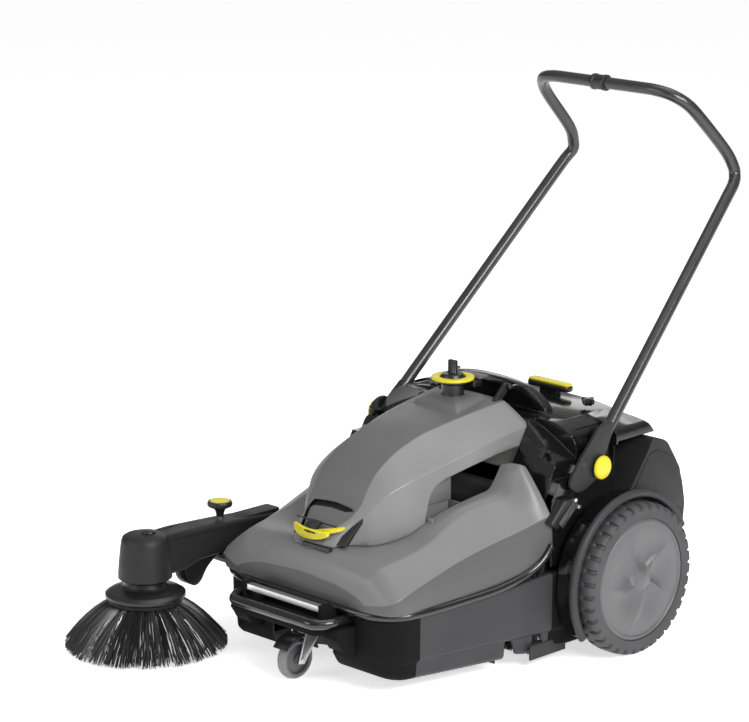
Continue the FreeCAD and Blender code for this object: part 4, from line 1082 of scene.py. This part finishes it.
def rear_tyre(side, body, node):
    """Tyre with a smooth side wall and chunky lugs across both shoulders."""
    centre = middle_of(node)
    lugs, fine = 36, 10
    total = lugs * fine
    profile = [(119.6, 25), (121, 26.5), (127, 26.6), (134, 26.9), (139, 26.9), (143, 26.4), (146, 24.5),
               (148.4, 21), (149.4, 16), (149.8, 9), (150, 5), (150, 0)]
    half = [(r, h, soft_step(137, 143, r) * soft_step(4, 7, h)) for r, h in profile]
    outline = half + [(r, -h, g) for r, h, g in reversed(half[:-1])]
    vertices = []
    for k in range(total):
        for r, h, groove in outline:
            shift = 0 if h > 0 else 0.5
            phase = (k / fine + shift) % 1
            gap = soft_step(0.0, 0.1, phase) * (1 - soft_step(0.30, 0.40, phase))
            deep = gap * groove
            turn = math.tau * k / total
            reach = r - 4.6 * deep
            width = h - math.copysign(2.4, h) * deep if h else 0
            vertices.append((centre.x + side * width, centre.y + reach * math.cos(turn),
                             centre.z + reach * math.sin(turn)))
    faces = bands(total, len(outline), wrapped=True)
    rides(mesh_object(f"tread_{node}", vertices, faces, TYRE, angle=40), body, node, slot="tyre")


def rear_wheel(side, body, node, cap):
    """Domed wheel disc with five broad spokes between curved pockets, and a stepped rim."""
    middle = middle_of(node)
    inner = side_limits(node)[0] - 2
    rings = [0, 5, 9, 12, 14, 15.5, 17, 19, 22, 25, 28, 32, 36, 40, 45, 50, 55, 60, 65, 70, 75, 80, 85, 90,
             95, 100, 104, 107, 109, 111, 112.5, 114, 115.5, 117, 118.4, 119]
    sectors, pockets = 240, 5
    vertices = []
    for r in rings:
        for k in range(sectors):
            turn = math.tau * k / sectors
            phase = (turn * pockets / math.tau + 0.25 + (r - 20) * 0.0035) % 1
            hollow = math.sin(math.pi * phase ** 0.8) ** 0.75
            height = 58.5 - 8.5 * (max(0, r - 18) / 97) ** 1.5
            if r < 15.5:
                height = 61.5 - 3.0 * (r / 15.5) ** 2
            height -= 11.5 * hollow * soft_step(15, 33, r) * (1 - soft_step(42, 106, r))
            height += 3.0 * soft_step(110, 112.5, r) - 1.5 * soft_step(115.5, 118, r)
            y, z = middle.y + r * math.cos(turn), middle.z + r * math.sin(turn)
            vertices.append((side * (inner + height), y, z))
    depth = [(119, 40), (119, 4), (110, 4), (110, 24), (24, 24), (24, 2), (10, 2)]
    for r, h in depth:
        for k in range(sectors):
            turn = math.tau * k / sectors
            y, z = middle.y + r * math.cos(turn), middle.z + r * math.sin(turn)
            vertices.append((side * (inner + h), y, z))
    faces = bands(len(rings) + len(depth), sectors)
    piece = mesh_object(f"disc_{node}", vertices, faces, WHEEL, angle=24)
    rides(piece, body, node, cap, slot="wheel_grey")


for wheel_side, which in SIDES:
    rear_tyre(wheel_side, f"rear_wheel_{which}", f"tyre_{which}")
    rear_wheel(wheel_side, f"rear_wheel_{which}", f"wheel_{which}", f"hub_cap_{which}")


# ---------------------------------------------------------------- smaller pieces


def soft_nodes():
    """Pieces whose drawn shape is right, with rounded edges."""
    rounding = {
        # The front frame is black plastic, drawn in the dull near-black of painted shade.
        "front_frame": (3, SHADE_BLACK), "selector_knob": (2, BLACK), "selector_ring": (1.6, YELLOW),
        "status_display": (1, WHEEL), "castor_fork": (1.2, ZINC), "arm_mount": (2, BLACK),
    }
    slots = {sub["node"]: sub["material_slot"] for sub in frame["record"]["subparts"]}
    for node, (width, material) in rounding.items():
        piece = softened(f"{node}_soft", node, width, material)
        rides(piece, frame_body(node), node, slot=slots[node])


def frame_body(node):
    """The CAD body that a node belongs to."""
    bodies = frame["record"]["behaviour"]["bodies"]
    return next(name for name, nodes in bodies.items() if node in nodes)


def winged_screws():
    """Slim four-lobed screws on the deck and on the front slope of the housing."""
    places = []
    for side in (1, -1):
        places.append(Matrix.Translation((side * 180, 54, 451)))
        places.append(Matrix.Translation((side * 228, -116, 397)) @ Matrix.Rotation(math.radians(58), 4, "X"))
    lobes, around = 4, 96
    levels = [(0.5, 0.55), (3, 0.62), (5, 0.95), (13, 1.0), (15, 0.88)]
    faces = bands(len(levels), around, capped=True)
    pieces = []
    for place in places:
        vertices = []
        for z, scale in levels:
            for k in range(around):
                turn = math.tau * k / around
                r = (6.5 + 10.0 * abs(math.cos(turn * lobes / 2)) ** 5) * scale
                vertices.append(place @ Vector((r * math.cos(turn), r * math.sin(turn), z)))
        pieces.append(mesh_object("winged_screws", vertices, faces, BLACK, angle=45))
    screws = joined(*pieces)
    screws.name = "winged_screws"
    rides(screws, frame_body("deck_knobs"), "deck_knobs", slot="black_part")


def console():
    """Grey foot that rises from the dome, the black neck of the selector, and the bridge to its display."""
    stages = [(62, -192, -86, 450), (60, -190, -86, 462), (38, -168, -98, 477)]
    vertices = []
    for half, front, rear, z in stages:
        vertices += [(-half, front, z), (half, front, z), (half, rear, z), (-half, rear, z)]
    faces = [(0, 1, 2, 3), (8, 9, 10, 11)] + bands(3, 4)
    # The foot takes the darkened grey of the cover's top panel, painted shade.
    foot = bevelled(mesh_object("selector_foot", vertices, faces, GREY_PANEL_SHADED), 7, 4)
    stem = [(0, 474), (24, 474), (22, 480), (22, 498), (34, 503), (34, 506.4), (0, 506.4)]
    neck = turned("neck", stem, (0, -140, 0), "z", BLACK, 72)
    bridge = bevelled(block("bridge", (-30, 30), (-112, -88), (489, 502), BLACK), 2.5)
    rides(joined(foot, neck, bridge), "cover", "console", slot="grey_cover")


def strips():
    """Rubber strips round the brush opening."""
    front = block("brush_strips", (-250, 250), (-284, -281), (20, 30), SEAL)
    rear = block("rear", (-260, 260), (-40, -36), (20, 30), SEAL)
    sides = [block("side", span(side, 279, 283), (-218, -118), (18, 46), SEAL) for side in (1, -1)]
    rides(bevelled(joined(front, rear, *sides), 0.6), "frame", "sealing_strips", slot="seal_rubber")


def castor_hood():
    """Arched hood of the castor fork over the wheel."""
    centre_y, centre_z = -566, 40
    outline = [(-17, 43.5), (17, 43.5), (18.5, 44.5), (18.5, 47), (16, 48.6), (-16, 48.6), (-18.5, 47),
               (-18.5, 44.5)]
    vertices, steps = [], 24
    for k in range(steps + 1):
        turn = math.radians(18 + 128 * k / steps)
        for x, r in outline:
            vertices.append((x, centre_y + r * math.cos(turn), centre_z + r * math.sin(turn)))
    faces = bands(steps + 1, len(outline), capped=True)
    rides(mesh_object("castor_hood", vertices, faces, BLACK, angle=40), "castor", "castor_fork", slot="zinc")


soft_nodes()
winged_screws()
console()
castor_hood()
strips()


# ---------------------------------------------------------------- stage


def pale_floor():
    """A white floor that glows a little, so that it is seen as white as the room."""
    mesh = bpy.data.meshes.new("floor")
    half = 40.0
    corners = [(-half, -half, 0), (half, -half, 0), (half, half, 0), (-half, half, 0)]
    mesh.from_pydata(corners, [], [(0, 1, 2, 3)])
    floor = placed("floor", mesh)
    white = surface("floor_white", (0.94, 0.94, 0.94), 0.8, patch=0.01, depth=0, edge=0)
    glow = white.node_tree.nodes["Principled BSDF"]
    set_inputs(glow, {"Emission Color": (1, 1, 1, 1), "Emission Strength": 0.64})
    floor.data.materials.append(white)


def softbox(name, place, aim, width, height, power):
    light = bpy.data.lights.new(name, "AREA")
    light.shape = "RECTANGLE"
    light.size, light.size_y, light.energy = width, height, power
    lamp = placed(name, light)
    lamp.location = place
    lamp.rotation_euler = (Vector(aim) - Vector(place)).to_track_quat("-Z", "Y").to_euler()


def studio():
    """A white room that is brighter overhead, with softboxes above, in front and at the left."""
    world = bpy.data.worlds.new("studio")
    bpy.context.scene.world = world
    world.use_nodes = True
    tree = world.node_tree
    seen = tree.nodes["Background"]
    set_inputs(seen, {"Color": (1, 1, 1, 1), "Strength": 1.0})
    lit = tree.nodes.new("ShaderNodeBackground")
    where = tree.nodes.new("ShaderNodeTexCoord")
    split = tree.nodes.new("ShaderNodeSeparateXYZ")
    ramp = value_range(tree, -0.1, 0.8, 0.10, 0.50)
    link(tree, where, "Generated", split, "Vector")
    link(tree, split, "Z", ramp, "Value")
    link(tree, ramp, "Result", lit, "Strength")
    path = tree.nodes.new("ShaderNodeLightPath")
    choose = tree.nodes.new("ShaderNodeMixShader")
    link(tree, path, "Is Camera Ray", choose, "Fac")
    tree.links.new(lit.outputs[0], choose.inputs[1])
    tree.links.new(seen.outputs[0], choose.inputs[2])
    tree.links.new(choose.outputs[0], tree.nodes["World Output"].inputs["Surface"])
    centre = point(0, -150, 300)
    softbox("top_light", centre + Vector((0.2, 0.6, 3.4)), centre, 2.6, 2.6, 40)
    softbox("front_light", centre + Vector((-1.4, -3.6, 1.5)), centre, 2.4, 1.4, 38)
    softbox("side_light", centre + Vector((3.5, -0.7, 2.2)), centre, 2.4, 1.4, 178)
    softbox("back_light", centre + Vector((-2.8, 3.2, 1.3)), centre, 3.0, 1.0, 14)
    bpy.context.scene.view_settings.view_transform = "Standard"


def camera():
    """Looks at the machine from its front left, slightly above, from far away through a long lens."""
    azimuth, elevation, distance = math.radians(45.2), math.radians(13.7), 6.061
    aim = point(-205.9, -150, 508.6)
    back = Vector((math.sin(azimuth) * math.cos(elevation), -math.cos(azimuth) * math.cos(elevation),
                   math.sin(elevation)))
    lens = bpy.data.cameras.new("camera")
    lens.sensor_width = 36
    lens.lens = 146.5
    lens.clip_end = 200
    eye = placed("camera", lens)
    eye.location = aim + back * distance
    eye.rotation_euler = back.to_track_quat("Z", "Y").to_euler()
    bpy.context.scene.camera = eye


pale_floor()
studio()
camera()
